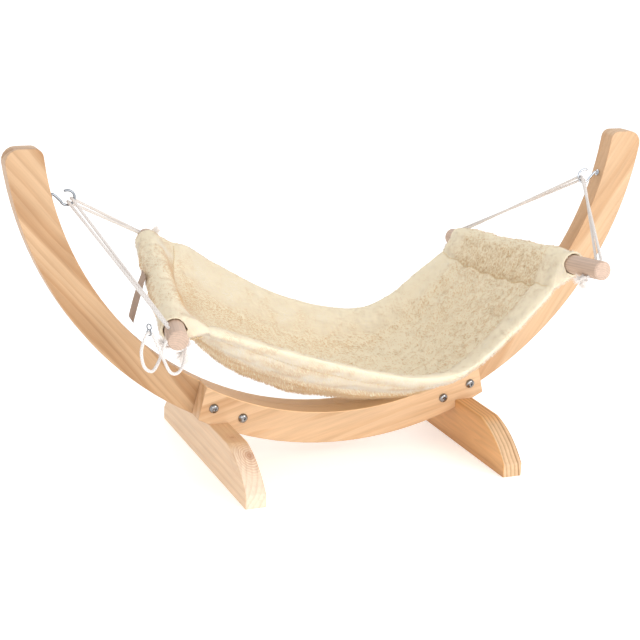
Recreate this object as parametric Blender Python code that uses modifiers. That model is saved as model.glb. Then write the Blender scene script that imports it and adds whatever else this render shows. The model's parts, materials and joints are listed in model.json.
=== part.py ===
"""Crescent cat lounger: a plush sling hung on cords between two curved wooden arms.

Metres, +Z up. The origin is on the floor, midway between the feet and under the
joint between the front and the back layer of the crescent. +X points to the right
arm and +Y to the back.
"""

import math

import bmesh
import bpy
from mathutils import Matrix, Vector

# Clearance kept between neighbouring pieces
GAP = 0.0003

# Crescent: two layers of board, both edges are arcs about centres on the Z axis
BOARD = 0.022
OUTER_RADIUS = 0.365
CRESCENT_GROUND_CLEARANCE = 0.014
CRESCENT_DEPTH = 0.0351
CRESCENT_SIDE_WIDTH = 0.0389
INNER_RADIUS = OUTER_RADIUS - CRESCENT_SIDE_WIDTH
OUTER_CENTRE_Z = CRESCENT_GROUND_CLEARANCE + OUTER_RADIUS
INNER_CENTRE_Z = CRESCENT_GROUND_CLEARANCE + CRESCENT_DEPTH + INNER_RADIUS
TIP_Z = 0.343
TIP_OUTER_ROUNDING = 0.014
TIP_INNER_ROUNDING = 0.009
BUTT_HALF_GAP = GAP / 2
BRACE_HALF_LENGTH = 0.1685
BRACE_END_SLANT = 0.0089
ARC_STEP = math.radians(2.5)
EDGE_ROUNDING = 0.0010

# Feet: planks set across the crescent, just inside the ends of the brace
FOOT_FROM_BRACE_END = 0.023
FOOT_X = BRACE_HALF_LENGTH - FOOT_FROM_BRACE_END
FOOT_HALF_LENGTH = 0.1387
FOOT_END_HEIGHT = 0.0146
FOOT_TOP_HALF_LENGTH = 0.080
FOOT_SLOPE_BULGE = 0.006
FOOT_EDGE_ROUNDING = 0.0012

# Bolts through brace and arms, on the middle line of the crescent, measured from the
# ends of the brace
BOLTS_FROM_BRACE_END = (0.0171, 0.0497)
BOLT_RADIUS = 0.003
BOLT_HEAD_RADIUS = 0.0052
BOLT_HEAD_HEIGHT = 0.0030
SOCKET_ACROSS_FLATS = 0.0040
SOCKET_DEPTH = 0.0018
WASHER_RADIUS = 0.006
WASHER_THICKNESS = 0.0012
NUT_ACROSS_FLATS = 0.010
NUT_HEIGHT = 0.005
BOLT_END = 0.002
BOLT_HOLE_RADIUS = BOLT_RADIUS + GAP

# Wood screws from under the feet into the two layers of the crescent
SCREW_LENGTH = 0.048
SCREW_RADIUS = 0.0020
SCREW_HEAD_RADIUS = 0.0040
SCREW_HEAD_HEIGHT = 0.0026
SCREW_SINK = 0.007
SCREW_POINT = 0.006

# Cup hooks in the inner edges of the arms, in the middle of the board
HOOK_PLANE_Y = BOARD / 2
HOOK_Z = 0.2945
HOOK_WIRE_RADIUS = 0.0013
HOOK_CURL_RADIUS = 0.0075
HOOK_REACH = 0.0175
HOOK_DROP = 0.0030
HOOK_NECK = 0.0035
HOOK_SHANK_IN_WOOD = 0.016
HOOK_COLLAR_RADIUS = 0.0035
HOOK_COLLAR_THICKNESS = 0.0012

# Dowels: near and far end of each, measured from the centre of its hook's curl
DOWEL_RADIUS = 0.010
DOWEL_CHAMFER = 0.0012
LEFT_DOWEL_ENDS = ((0.0635, -0.1690, -0.1035), (0.1245, 0.1475, -0.0805))
RIGHT_DOWEL_ENDS = ((-0.0775, -0.1720, -0.0635), (-0.0845, 0.1500, -0.1015))
NEAR_HOLES = (0.0160, 0.0255)
FAR_HOLES = (0.0047, 0.0126)

# Suspension cords and their knots
CORD_RADIUS = 0.0016
CORD_STEP = 0.0080
CORD_PLAY = 2 * GAP
CORD_SWAY_ROOM = 3 * GAP
HOLE_RADIUS = CORD_RADIUS + CORD_PLAY
KNOT_HALF_SIZE = Vector((0.0042, 0.0066, 0.0036))
KNOT_TAIL = 0.012

# Sling: each line runs between the tunnels, its points given as share of the way,
# drop below the straight line and shift to the back
SLING_HALF_THICKNESS = 0.0040
TUNNEL_INNER_RADIUS = DOWEL_RADIUS + 2 * GAP
TUNNEL_WALL = 0.0049
TUNNEL_OUTER_RADIUS = TUNNEL_INNER_RADIUS + TUNNEL_WALL
SEAM_DISTANCE = 0.036
LEFT_TUNNEL = (0.0350, 0.3035)
RIGHT_TUNNEL = (0.0560, 0.3010)
NEAR_RIM = ((0.077, 0.005, -0.008), (0.302, 0.046, -0.012), (0.512, 0.082, -0.010),
            (0.644, 0.100, -0.009), (0.733, 0.101, -0.009), (0.858, 0.067, -0.007))
MIDDLE_LINE = ((0.121, 0.074, 0.0), (0.262, 0.113, 0.0), (0.364, 0.1285, 0.0),
               (0.531, 0.1370, 0.0), (0.650, 0.1345, 0.0), (0.769, 0.1115, 0.0),
               (0.876, 0.068, 0.0))
FAR_RIM = ((0.111, 0.005, -0.001), (0.203, 0.026, -0.005), (0.402, 0.063, -0.011),
           (0.606, 0.080, -0.015), (0.734, 0.071, -0.011), (0.861, 0.039, -0.005))
SLING_SPANS = 18
SLING_STRIPS = 17
TUNNEL_ARC_STEPS = 7
FOLD_HEIGHT = 0.0022
LEFT_FOLDS = 5
RIGHT_FOLDS = 7
FOLD_REACH = 0.28
SHEET_STEP = 0.004

# Loose tail of cord from the knot under the near end of the left dowel, with its
# adjuster ring, all measured from the centre of that end
TAIL_ROUTE = ((0.0060, 0.0015, -0.0230), (-0.0030, -0.0100, -0.0275), (-0.0125, -0.0165, -0.0240),
              (-0.0200, -0.0165, -0.0090), (-0.0260, -0.0142, 0.0060), (-0.0290, -0.0135, 0.0125),
              (-0.0330, -0.0160, 0.0155), (-0.0372, -0.0186, 0.0120), (-0.0410, -0.0190, -0.0010),
              (-0.0375, -0.0170, -0.0165), (-0.0290, -0.0140, -0.0225), (-0.0220, -0.0117, -0.0140),
              (-0.0180, -0.0110, -0.0020), (-0.0150, -0.0100, 0.0035))
RING_PLACE = 6
RING_NORMAL = Vector((-0.85, -0.53, 0.0))
RING_RADIUS = 0.0027
RING_WIRE_RADIUS = 0.0006

# Label sewn to the outer side of the left tunnel
LABEL_DISTANCE = 0.1725
LABEL_WIDTH = 0.020
LABEL_LENGTH = 0.052
LABEL_SEAM = 0.004
LABEL_THICKNESS = 0.0010
LABEL_LEAN = math.radians(13)

# Colours, linear: base colour, roughness, metallic
PINE = ((0.78, 0.55, 0.32, 1.0), 0.50, 0.0)
PINE_FOOT = ((0.72, 0.49, 0.27, 1.0), 0.52, 0.0)
BEECH = ((0.55, 0.38, 0.25, 1.0), 0.55, 0.0)
CHROME = ((0.80, 0.80, 0.80, 1.0), 0.15, 1.0)
ZINC = ((0.60, 0.61, 0.62, 1.0), 0.32, 1.0)
COTTON = ((0.84, 0.80, 0.76, 1.0), 0.90, 0.0)
PLUSH = ((0.87, 0.77, 0.57, 1.0), 0.95, 0.0)
RIBBON = ((0.40, 0.29, 0.21, 1.0), 0.80, 0.0)


def clear_scene():
    for obj in list(bpy.data.objects):
        bpy.data.objects.remove(obj, do_unlink=True)


def new_collection(name):
    collection = bpy.data.collections.new(name)
    bpy.context.scene.collection.children.link(collection)
    return collection


def material(name, look):
    colour, roughness, metallic = look
    mat = bpy.data.materials.new(name)
    mat.use_nodes = True
    shader = mat.node_tree.nodes["Principled BSDF"]
    shader.inputs["Base Color"].default_value = colour
    shader.inputs["Roughness"].default_value = roughness
    shader.inputs["Metallic"].default_value = metallic
    return mat


def finish(obj, look, parts, smooth_angle=None):
    """Put a finished piece in the parts collection with its own material."""
    for collection in list(obj.users_collection):
        collection.objects.unlink(obj)
    parts.objects.link(obj)
    obj.data.materials.clear()
    obj.data.materials.append(material(obj.name, look))
    if smooth_angle is not None:
        obj.data.shade_smooth()
        obj.data.set_sharp_from_angle(angle=math.radians(smooth_angle))
    return obj


def evaluated_mesh(obj):
    depsgraph = bpy.context.evaluated_depsgraph_get()
    depsgraph.update()
    return bpy.data.meshes.new_from_object(obj.evaluated_get(depsgraph))


def curve_to_mesh(curve_obj):
    """Replace a curve object by a welded mesh object in the same place."""
    mesh = evaluated_mesh(curve_obj)
    shape = bmesh.new()
    shape.from_mesh(mesh)
    bmesh.ops.remove_doubles(shape, verts=shape.verts, dist=0.000001)
    bmesh.ops.recalc_face_normals(shape, faces=shape.faces)
    shape.to_mesh(mesh)
    shape.free()
    obj = bpy.data.objects.new(curve_obj.name, mesh)
    obj.matrix_world = curve_obj.matrix_world.copy()
    bpy.context.scene.collection.objects.link(obj)
    name = curve_obj.name
    bpy.data.objects.remove(curve_obj, do_unlink=True)
    obj.name = name
    return obj


def board_from_outline(name, outline, thickness, matrix):
    """A flat closed outline in the local XY plane, given thickness along local Z."""
    curve = bpy.data.curves.new(name, "CURVE")
    curve.dimensions = "2D"
    curve.fill_mode = "BOTH"
    curve.extrude = thickness / 2
    spline = curve.splines.new("POLY")
    spline.points.add(len(outline) - 1)
    for point, (x, y) in zip(spline.points, outline):
        point.co = (x, y, 0.0, 1.0)
    spline.use_cyclic_u = True
    obj = bpy.data.objects.new(name, curve)
    obj.matrix_world = matrix
    bpy.context.scene.collection.objects.link(obj)
    return curve_to_mesh(obj)


def tube(name, points, radius, resolution=2):
    """A round rod or cord along a list of points, with flat closed ends."""
    curve = bpy.data.curves.new(name, "CURVE")
    curve.dimensions = "3D"
    curve.bevel_depth = radius
    curve.bevel_resolution = resolution
    curve.use_fill_caps = True
    spline = curve.splines.new("POLY")
    spline.points.add(len(points) - 1)
    for point, place in zip(spline.points, points):
        point.co = (*place, 1.0)
    obj = bpy.data.objects.new(name, curve)
    bpy.context.scene.collection.objects.link(obj)
    return curve_to_mesh(obj)


def smooth_route(points, step):
    """Points at an even step along a Catmull-Rom curve through the given points."""
    places = [Vector(p) for p in points]
    places = [2 * places[0] - places[1], *places, 2 * places[-1] - places[-2]]
    fine = []
    for i in range(1, len(places) - 2):
        a, b, c, d = places[i - 1:i + 3]
        for k in range(16):
            t = k / 16
            fine.append(0.5 * (2 * b + (c - a) * t + (2 * a - 5 * b + 4 * c - d) * t ** 2
                               + (3 * b - a - 3 * c + d) * t ** 3))
    fine.append(places[-2])
    return even_steps(fine, step)


def even_steps(fine, step):
    """Resample a fine chain of points at an even step, ends kept."""
    lengths = [0.0]
    for a, b in zip(fine, fine[1:]):
        lengths.append(lengths[-1] + (b - a).length)
    count = max(2, round(lengths[-1] / step))
    route = []
    k = 0
    for i in range(count + 1):
        target = lengths[-1] * i / count
        while k < len(fine) - 2 and lengths[k + 1] < target:
            k += 1
        span = max(lengths[k + 1] - lengths[k], 1e-9)
        route.append(fine[k].lerp(fine[k + 1], min(1.0, (target - lengths[k]) / span)))
    return route


def frame_along(axis, place, side=Vector((0.0, 0.0, 1.0))):
    """A matrix whose local Z runs along the axis from the place."""
    z = axis.normalized()
    x = (side - side.dot(z) * z).normalized()
    y = z.cross(x)
    matrix = Matrix((x, y, z)).transposed().to_4x4()
    matrix.translation = place
    return matrix


def turned(name, profile, matrix, steps=24):
    """A solid of revolution about local Z; the profile runs down its outer side."""
    mesh = bpy.data.meshes.new(name)
    edges = [(i, i + 1) for i in range(len(profile) - 1)]
    mesh.from_pydata([(r, 0.0, z) for r, z in profile], edges, [])
    obj = bpy.data.objects.new(name, mesh)
    bpy.context.scene.collection.objects.link(obj)
    obj.matrix_world = matrix
    screw = obj.modifiers.new("turn", "SCREW")
    screw.axis = "Z"
    screw.steps = steps
    screw.render_steps = steps
    screw.use_merge_vertices = True
    screw.merge_threshold = 0.00001
    return obj


def rod_cutter(name, radius, start, end, cutters, sides=24):
    """A plain cylinder between two places, used to bore a hole."""
    axis = end - start
    shape = bmesh.new()
    bmesh.ops.create_cone(shape, cap_ends=True, segments=sides, radius1=radius,
                          radius2=radius, depth=axis.length)
    mesh = bpy.data.meshes.new(name)
    shape.to_mesh(mesh)
    shape.free()
    obj = bpy.data.objects.new(name, mesh)
    obj.matrix_world = frame_along(axis, (start + end) / 2, Vector((0.3, 1.0, 0.2)))
    return mark_cutter(obj, cutters)


def mark_cutter(obj, cutters):
    for collection in list(obj.users_collection):
        collection.objects.unlink(obj)
    cutters.objects.link(obj)
    obj.hide_render = True
    obj.display_type = "WIRE"
    return obj


def boolean(obj, other, operation="DIFFERENCE"):
    mod = obj.modifiers.new(other.name, "BOOLEAN")
    mod.operation = operation
    mod.solver = "EXACT"
    mod.object = other
    return mod


def round_edges(obj, width=EDGE_ROUNDING, segments=2, angle=35):
    bevel = obj.modifiers.new("edge rounding", "BEVEL")
    bevel.width = width
    bevel.segments = segments
    bevel.limit_method = "ANGLE"
    bevel.angle_limit = math.radians(angle)
    return bevel


def arc_point(radius, centre_z, angle):
    """Place on an arc, the angle measured from straight down toward +X."""
    return (radius * math.sin(angle), centre_z - radius * math.cos(angle))


def arc_points(radius, centre_z, start, end):
    """Points from start to end angle, always on whole multiples of the arc step inside."""
    first = math.floor(min(start, end) / ARC_STEP) + 1
    last = math.ceil(max(start, end) / ARC_STEP) - 1
    angles = [k * ARC_STEP for k in range(first, last + 1)]
    angles = [a for a in angles if min(abs(a - start), abs(a - end)) > ARC_STEP / 6]
    if start > end:
        angles.reverse()
    return [arc_point(radius, centre_z, a) for a in (start, *angles, end)]


def fillet(before, corner, after, radius, steps=5):
    """Round an outline's corner with an arc tangent to both of its sides."""
    corner = Vector(corner)
    to_before = (Vector(before) - corner).normalized()
    to_after = (Vector(after) - corner).normalized()
    half = to_before.angle(to_after) / 2
    centre = corner + (to_before + to_after).normalized() * radius / math.sin(half)
    start = corner + to_before * radius / math.tan(half) - centre
    turn = start.angle_signed(corner + to_after * radius / math.tan(half) - centre)
    points = []
    for i in range(steps + 1):
        angle = -turn * i / steps
        c, s = math.cos(angle), math.sin(angle)
        points.append(tuple(centre + Vector((c * start.x - s * start.y, s * start.x + c * start.y))))
    return points


def edge_height(radius, centre_z, x):
    """Height of an arc's lower half at a distance from the middle."""
    return centre_z - math.sqrt(radius ** 2 - x ** 2)


def bolt_places():
    """Bolt places on the right-hand side, halfway between the crescent's two edges."""
    places = []
    for distance in BOLTS_FROM_BRACE_END:
        x = BRACE_HALF_LENGTH - distance
        low = edge_height(OUTER_RADIUS, OUTER_CENTRE_Z, x)
        high = edge_height(INNER_RADIUS, INNER_CENTRE_Z, x)
        places.append((x, (low + high) / 2))
    return places


def foot_height():
    """The feet rise to the crescent's lower edge at their outer faces."""
    return edge_height(OUTER_RADIUS, OUTER_CENTRE_Z, FOOT_X + BOARD / 2)


def arm_outline():
    """Right arm: outer arc up to the rounded tip, then the inner arc down to the butt end."""
    outer_tip = math.acos((OUTER_CENTRE_Z - TIP_Z) / OUTER_RADIUS)
    inner_tip = math.acos((INNER_CENTRE_Z - TIP_Z) / INNER_RADIUS)
    outer_corner = arc_point(OUTER_RADIUS, OUTER_CENTRE_Z, outer_tip)
    inner_corner = arc_point(INNER_RADIUS, INNER_CENTRE_Z, inner_tip)
    below_outer = outer_tip - TIP_OUTER_ROUNDING / OUTER_RADIUS
    below_inner = inner_tip - TIP_INNER_ROUNDING / INNER_RADIUS
    outer_side = arc_point(OUTER_RADIUS, OUTER_CENTRE_Z, below_outer)
    inner_side = arc_point(INNER_RADIUS, INNER_CENTRE_Z, below_inner)
    outline = arc_points(OUTER_RADIUS, OUTER_CENTRE_Z, BUTT_HALF_GAP / OUTER_RADIUS, below_outer)[:-1]
    outline += fillet(outer_side, outer_corner, inner_corner, TIP_OUTER_ROUNDING)
    outline += fillet(outer_corner, inner_corner, inner_side, TIP_INNER_ROUNDING)
    outline += arc_points(INNER_RADIUS, INNER_CENTRE_Z, below_inner, BUTT_HALF_GAP / INNER_RADIUS)[1:]
    return outline


def standing(y):
    """Matrix that stands a flat outline up in the XZ plane at the given y."""
    return Matrix.Translation((0.0, y, 0.0)) @ Matrix.Rotation(math.radians(90), 4, "X")


def mirrored(outline):
    return [(-x, y) for x, y in reversed(outline)]


def hook_frame(side):
    """Where a hook's shank leaves the arm, and the direction that it leaves in."""
    x = math.sqrt(INNER_RADIUS ** 2 - (INNER_CENTRE_Z - HOOK_Z) ** 2)
    place = Vector((side * x, HOOK_PLANE_Y, HOOK_Z))
    outward = Vector((0.0, HOOK_PLANE_Y, INNER_CENTRE_Z)) - place
    return place, outward.normalized()


def hook_centre(side):
    place, _ = hook_frame(side)
    return place - Vector((side * HOOK_REACH, 0.0, HOOK_DROP))


def curl_point(side, radius, angle):
    """A place in a hook's plane; angles are those of the right hook, mirrored on the left."""
    offset = Vector((side * radius * math.cos(angle), 0.0, radius * math.sin(angle)))
    return hook_centre(side) + offset


def make_arms(parts, cutters):
    outline = arm_outline()
    thickness = BOARD - GAP
    for name, side, shape in (("right_arm", 1, outline), ("left_arm", -1, mirrored(outline))):
        arm = board_from_outline(name, shape, thickness, standing((BOARD + GAP) / 2))
        round_edges(arm)
        for place_x, place_z in bolt_places():
            boolean(arm, bolt_bore(side * place_x, place_z, cutters))
        boolean(arm, screw_bore(side, BOARD / 2, cutters))
        place, outward = hook_frame(side)
        pilot = rod_cutter(name + "_pilot", HOOK_WIRE_RADIUS + GAP, place + outward * HOOK_WIRE_RADIUS,
                           place - outward * (HOOK_SHANK_IN_WOOD + GAP), cutters, sides=16)
        boolean(arm, pilot)
        finish(arm, PINE, parts, 30)


def bolt_bore(x, z, cutters):
    return rod_cutter("bolt_bore", BOLT_HOLE_RADIUS, Vector((x, -BOARD - 0.003, z)),
                      Vector((x, BOARD + 0.003, z)), cutters)


def screw_bore(side, y, cutters):
    bottom = Vector((side * FOOT_X, y, SCREW_SINK))
    top = Vector((side * FOOT_X, y, SCREW_SINK + SCREW_LENGTH + GAP))
    return rod_cutter("screw_bore", SCREW_RADIUS + GAP, bottom, top, cutters, sides=16)


def make_brace(parts, cutters):
    outer_angle = math.asin(BRACE_HALF_LENGTH / OUTER_RADIUS)
    inner_angle = math.asin((BRACE_HALF_LENGTH - BRACE_END_SLANT) / INNER_RADIUS)
    outline = arc_points(OUTER_RADIUS, OUTER_CENTRE_Z, -outer_angle, outer_angle)
    outline += arc_points(INNER_RADIUS, INNER_CENTRE_Z, inner_angle, -inner_angle)
    brace = board_from_outline("centre_brace", outline, BOARD - GAP, standing(-(BOARD + GAP) / 2))
    round_edges(brace)
    for side in (-1, 1):
        for place_x, place_z in bolt_places():
            boolean(brace, bolt_bore(side * place_x, place_z, cutters))
        boolean(brace, screw_bore(side, -BOARD / 2, cutters))
    finish(brace, PINE, parts, 30)


def foot_outline():
    """Side view of a foot: short upright ends, bulging slopes and a flat top."""
    end = Vector((FOOT_HALF_LENGTH, FOOT_END_HEIGHT))
    kink = Vector((FOOT_TOP_HALF_LENGTH, foot_height()))
    run = kink - end
    outward = Vector((run.y, -run.x)).normalized()
    slope = []
    for i in range(9):
        t = i / 8
        slope.append(tuple(end + run * t + outward * FOOT_SLOPE_BULGE * 4 * t * (1 - t)))
    half = [(FOOT_HALF_LENGTH, 0.0), *slope]
    return half + mirrored(half)


def make_feet(parts, cutters):
    """Each foot is notched for the crescent and bored from below for two screws."""
    notch = arc_points(OUTER_RADIUS + GAP, OUTER_CENTRE_Z, -ARC_STEP * 12, ARC_STEP * 12)
    notch += [(notch[-1][0], foot_height() * 3), (notch[0][0], foot_height() * 3)]
    for name, side in (("left_foot", -1), ("right_foot", 1)):
        upright = Matrix.Translation((side * FOOT_X, 0.0, 0.0))
        upright = upright @ Matrix.Rotation(math.radians(90), 4, "Z")
        upright = upright @ Matrix.Rotation(math.radians(90), 4, "X")
        foot = board_from_outline(name, foot_outline(), BOARD, upright)
        round_edges(foot, FOOT_EDGE_ROUNDING)
        seat = board_from_outline(name + "_seat", notch, 2 * (BOARD + GAP), standing(0.0))
        boolean(foot, mark_cutter(seat, cutters))
        for y in (-BOARD / 2, BOARD / 2):
            boolean(foot, screw_bore(side, y, cutters))
            sink = rod_cutter("screw_sink", SCREW_HEAD_RADIUS + GAP, Vector((side * FOOT_X, y, -0.002)),
                              Vector((side * FOOT_X, y, SCREW_SINK + SCREW_HEAD_HEIGHT + GAP)), cutters)
            boolean(foot, sink)
        finish(foot, PINE_FOOT, parts, 30)


def make_bolts(parts, cutters):
    """Dome-headed socket bolts with a washer and a hexagon nut behind the arms."""
    length = 2 * BOARD + WASHER_THICKNESS + NUT_HEIGHT + BOLT_END
    places = [(side * x, z) for side in (-1, 1) for x, z in bolt_places()]
    dome = []
    for i in range(7):
        angle = math.radians(90 - 15 * i)
        dome.append((BOLT_HEAD_RADIUS * math.cos(angle), BOLT_HEAD_HEIGHT * math.sin(angle)))
    dome[0] = (0.0, BOLT_HEAD_HEIGHT)
    shank = [(BOLT_RADIUS, 0.0), (BOLT_RADIUS, 0.0006 - length), (BOLT_RADIUS - 0.0006, -length),
             (0.0, -length)]
    for number, (x, z) in enumerate(places, 1):
        front = Vector((x, -BOARD - GAP, z))
        out = frame_along(Vector((0.0, -1.0, 0.0)), front)
        bolt = turned(f"brace_bolt_{number}", dome + shank, out)
        key = bmesh.new()
        bmesh.ops.create_cone(key, cap_ends=True, segments=6, depth=2 * SOCKET_DEPTH,
                              radius1=SOCKET_ACROSS_FLATS / math.sqrt(3),
                              radius2=SOCKET_ACROSS_FLATS / math.sqrt(3))
        mesh = bpy.data.meshes.new("socket")
        key.to_mesh(mesh)
        key.free()
        socket = bpy.data.objects.new("socket", mesh)
        socket.matrix_world = out @ Matrix.Translation((0.0, 0.0, BOLT_HEAD_HEIGHT))
        boolean(bolt, mark_cutter(socket, cutters))
        finish(bolt, CHROME, parts, 35)
        back = Vector((x, BOARD + GAP, z))
        inward = frame_along(Vector((0.0, 1.0, 0.0)), back)
        washer = turned(f"bolt_washer_{number}", ring_profile(WASHER_RADIUS, WASHER_THICKNESS), inward)
        finish(washer, ZINC, parts, 35)
        nut_place = back + Vector((0.0, WASHER_THICKNESS + GAP, 0.0))
        finish(hexagon_nut(f"bolt_nut_{number}", nut_place, cutters), ZINC, parts, 30)


def ring_profile(radius, thickness):
    """Section of a flat ring, its four corners in order and closed."""
    bore = BOLT_RADIUS + GAP
    return [(bore, thickness), (radius, thickness), (radius, 0.0), (bore, 0.0), (bore, thickness)]


def hexagon_nut(name, place, cutters):
    shape = bmesh.new()
    bmesh.ops.create_cone(shape, cap_ends=True, segments=6, depth=NUT_HEIGHT,
                          radius1=NUT_ACROSS_FLATS / math.sqrt(3),
                          radius2=NUT_ACROSS_FLATS / math.sqrt(3))
    mesh = bpy.data.meshes.new(name)
    shape.to_mesh(mesh)
    shape.free()
    nut = bpy.data.objects.new(name, mesh)
    bpy.context.scene.collection.objects.link(nut)
    nut.matrix_world = frame_along(Vector((0.0, 1.0, 0.0)), place + Vector((0.0, NUT_HEIGHT / 2, 0.0)))
    round_edges(nut, 0.0005, 1)
    bore = rod_cutter(name + "_bore", BOLT_RADIUS + GAP, place - Vector((0.0, 0.002, 0.0)),
                      place + Vector((0.0, NUT_HEIGHT + 0.002, 0.0)), cutters)
    boolean(nut, bore)
    return nut


def make_foot_screws(parts):
    """Countersunk wood screws, two up through each foot, one into each layer."""
    top = SCREW_LENGTH
    profile = [(0.0, top), (SCREW_RADIUS, top - SCREW_POINT), (SCREW_RADIUS, SCREW_HEAD_HEIGHT),
               (SCREW_HEAD_RADIUS, 0.0004), (SCREW_HEAD_RADIUS, 0.0), (0.0, 0.0)]
    for side, label in ((-1, "left"), (1, "right")):
        for number, y in enumerate((-BOARD / 2, BOARD / 2), 1):
            place = Matrix.Translation((side * FOOT_X, y, SCREW_SINK))
            screw = turned(f"{label}_foot_screw_{number}", profile, place, 16)
            finish(screw, ZINC, parts, 35)


def make_hooks(parts, cutters):
    """Open wire hooks: shank in the arm, a round collar and the curl."""
    for name, side in (("left_hook", -1), ("right_hook", 1)):
        place, outward = hook_frame(side)
        shank = [place - outward * HOOK_SHANK_IN_WOOD, place, place + outward * HOOK_NECK]
        curl = []
        for k in range(15):
            angle = math.radians(-22 - k * 19)
            curl.append(curl_point(side, HOOK_CURL_RADIUS, angle))
        route = smooth_route([*shank, *curl], 0.0018)
        wire = tube(name, route, HOOK_WIRE_RADIUS)
        collar_profile = [(0.0, HOOK_COLLAR_THICKNESS), (HOOK_COLLAR_RADIUS * 0.7, HOOK_COLLAR_THICKNESS),
                          (HOOK_COLLAR_RADIUS, HOOK_COLLAR_THICKNESS * 0.4), (HOOK_COLLAR_RADIUS, 0.0),
                          (0.0, 0.0)]
        collar = turned(name + "_collar", collar_profile,
                        frame_along(outward, place + outward * 2 * GAP, Vector((0.0, 1.0, 0.0))))
        boolean(wire, mark_cutter(collar, cutters), "UNION")
        finish(wire, ZINC, parts, 50)


def dowel_ends(side):
    """Near and far end of a dowel's axis."""
    centre = hook_centre(side)
    ends = RIGHT_DOWEL_ENDS if side > 0 else LEFT_DOWEL_ENDS
    return tuple(centre + Vector(end) for end in ends)


def holes(from_far):
    """Distances of an end's two cord holes from the end of the dowel."""
    return FAR_HOLES if from_far else NEAR_HOLES


def dowel_place(dowel, distance, from_far=False):
    """A place on a dowel's axis, at a distance from its near or its far end."""
    near, far = dowel
    axis = (far - near).normalized()
    return far - axis * distance if from_far else near + axis * distance


def pull_direction(dowel, side, from_far):
    """Direction across the dowel in which its end is pulled by the hook."""
    near, far = dowel
    axis = (far - near).normalized()
    to_hook = hook_centre(side) - (far if from_far else near)
    return (to_hook - to_hook.dot(axis) * axis).normalized()


def make_dowels(parts, cutters):
    """Round bars with two cord holes across each end."""
    for name, side in (("left_dowel", -1), ("right_dowel", 1)):
        dowel = near, far = dowel_ends(side)
        length = (far - near).length
        edge = DOWEL_RADIUS - DOWEL_CHAMFER
        profile = [(0.0, length), (edge, length), (DOWEL_RADIUS, length - DOWEL_CHAMFER),
                   (DOWEL_RADIUS, DOWEL_CHAMFER), (edge, 0.0), (0.0, 0.0)]
        bar = turned(name, profile, frame_along(far - near, near), 32)
        for from_far in (False, True):
            pull = pull_direction(dowel, side, from_far)
            for distance in holes(from_far):
                middle = dowel_place(dowel, distance, from_far)
                reach = pull * 1.4 * DOWEL_RADIUS
                hole = rod_cutter("cord_hole", HOLE_RADIUS, middle - reach, middle + reach,
                                  cutters, sides=16)
                boolean(bar, hole)
        finish(bar, BEECH, parts, 35)


def cord_end(dowel, side, distance, from_far, along):
    """Cord from under the dowel, up through its hole and bent toward the hook."""
    middle = dowel_place(dowel, distance, from_far)
    pull = pull_direction(dowel, side, from_far)
    lean = along.normalized()
    mouth = middle + pull * (DOWEL_RADIUS + 0.75 * CORD_RADIUS)
    return [middle - pull * (DOWEL_RADIUS + 0.5 * CORD_RADIUS), middle, mouth,
            mouth + (pull * 1.1 + lean * 0.75) * CORD_RADIUS,
            mouth + (pull * 2.1 + lean * 2.4) * CORD_RADIUS]


def cord_bed(side, number):
    """Bend of a cord in the hook's mouth, hugging the inside of the wire."""
    reach = HOOK_WIRE_RADIUS + CORD_RADIUS + CORD_PLAY
    spread = math.asin((CORD_RADIUS + CORD_PLAY) / (HOOK_CURL_RADIUS - reach))
    angle = math.radians(225) + (2 * number - 1) * spread
    route = []
    for turn in (32, 16, 0, -16, -32):
        turn = math.radians(turn)
        place = curl_point(side, HOOK_CURL_RADIUS - reach * math.cos(turn), angle)
        route.append(place + Vector((0.0, (reach + CORD_SWAY_ROOM) * math.sin(turn), 0.0)))
    return route


def cord_route(dowel, side, number):
    """One cord: far hole, hook, near hole, so that the two cords run clear of each other."""
    near_hole = number if side > 0 else 1 - number
    near, far = dowel
    axis = (far - near).normalized()
    far_end = cord_end(dowel, side, FAR_HOLES[1 - near_hole], True, -axis)
    near_end = cord_end(dowel, side, NEAR_HOLES[near_hole], False, axis)
    return [*far_end, *cord_bed(side, number), *reversed(near_end)]


def make_cords(parts):
    for label, side in (("left", -1), ("right", 1)):
        for number in range(2):
            route = cord_route(dowel_ends(side), side, number)
            points = []
            for a, b in zip(route, route[1:]):
                steps = max(1, round((b - a).length / (4 * CORD_STEP)))
                points += [a.lerp(b, k / steps) for k in range(steps)]
            points.append(route[-1])
            cord = tube(f"{label}_cord_{number + 1}", points, CORD_RADIUS)
            finish(cord, COTTON, parts, 50)


def knot_frame(side, from_far):
    """Place of the knot under a dowel end: local Z along the pull, local Y along the dowel."""
    dowel = near, far = dowel_ends(side)
    axis = (far - near).normalized()
    pull = pull_direction(dowel, side, from_far)
    middle = dowel_place(dowel, sum(holes(from_far)) / 2, from_far)
    centre = middle - pull * (DOWEL_RADIUS + 0.5 * CORD_RADIUS + GAP + KNOT_HALF_SIZE.z)
    return frame_along(pull, centre, pull.cross(axis))


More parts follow.
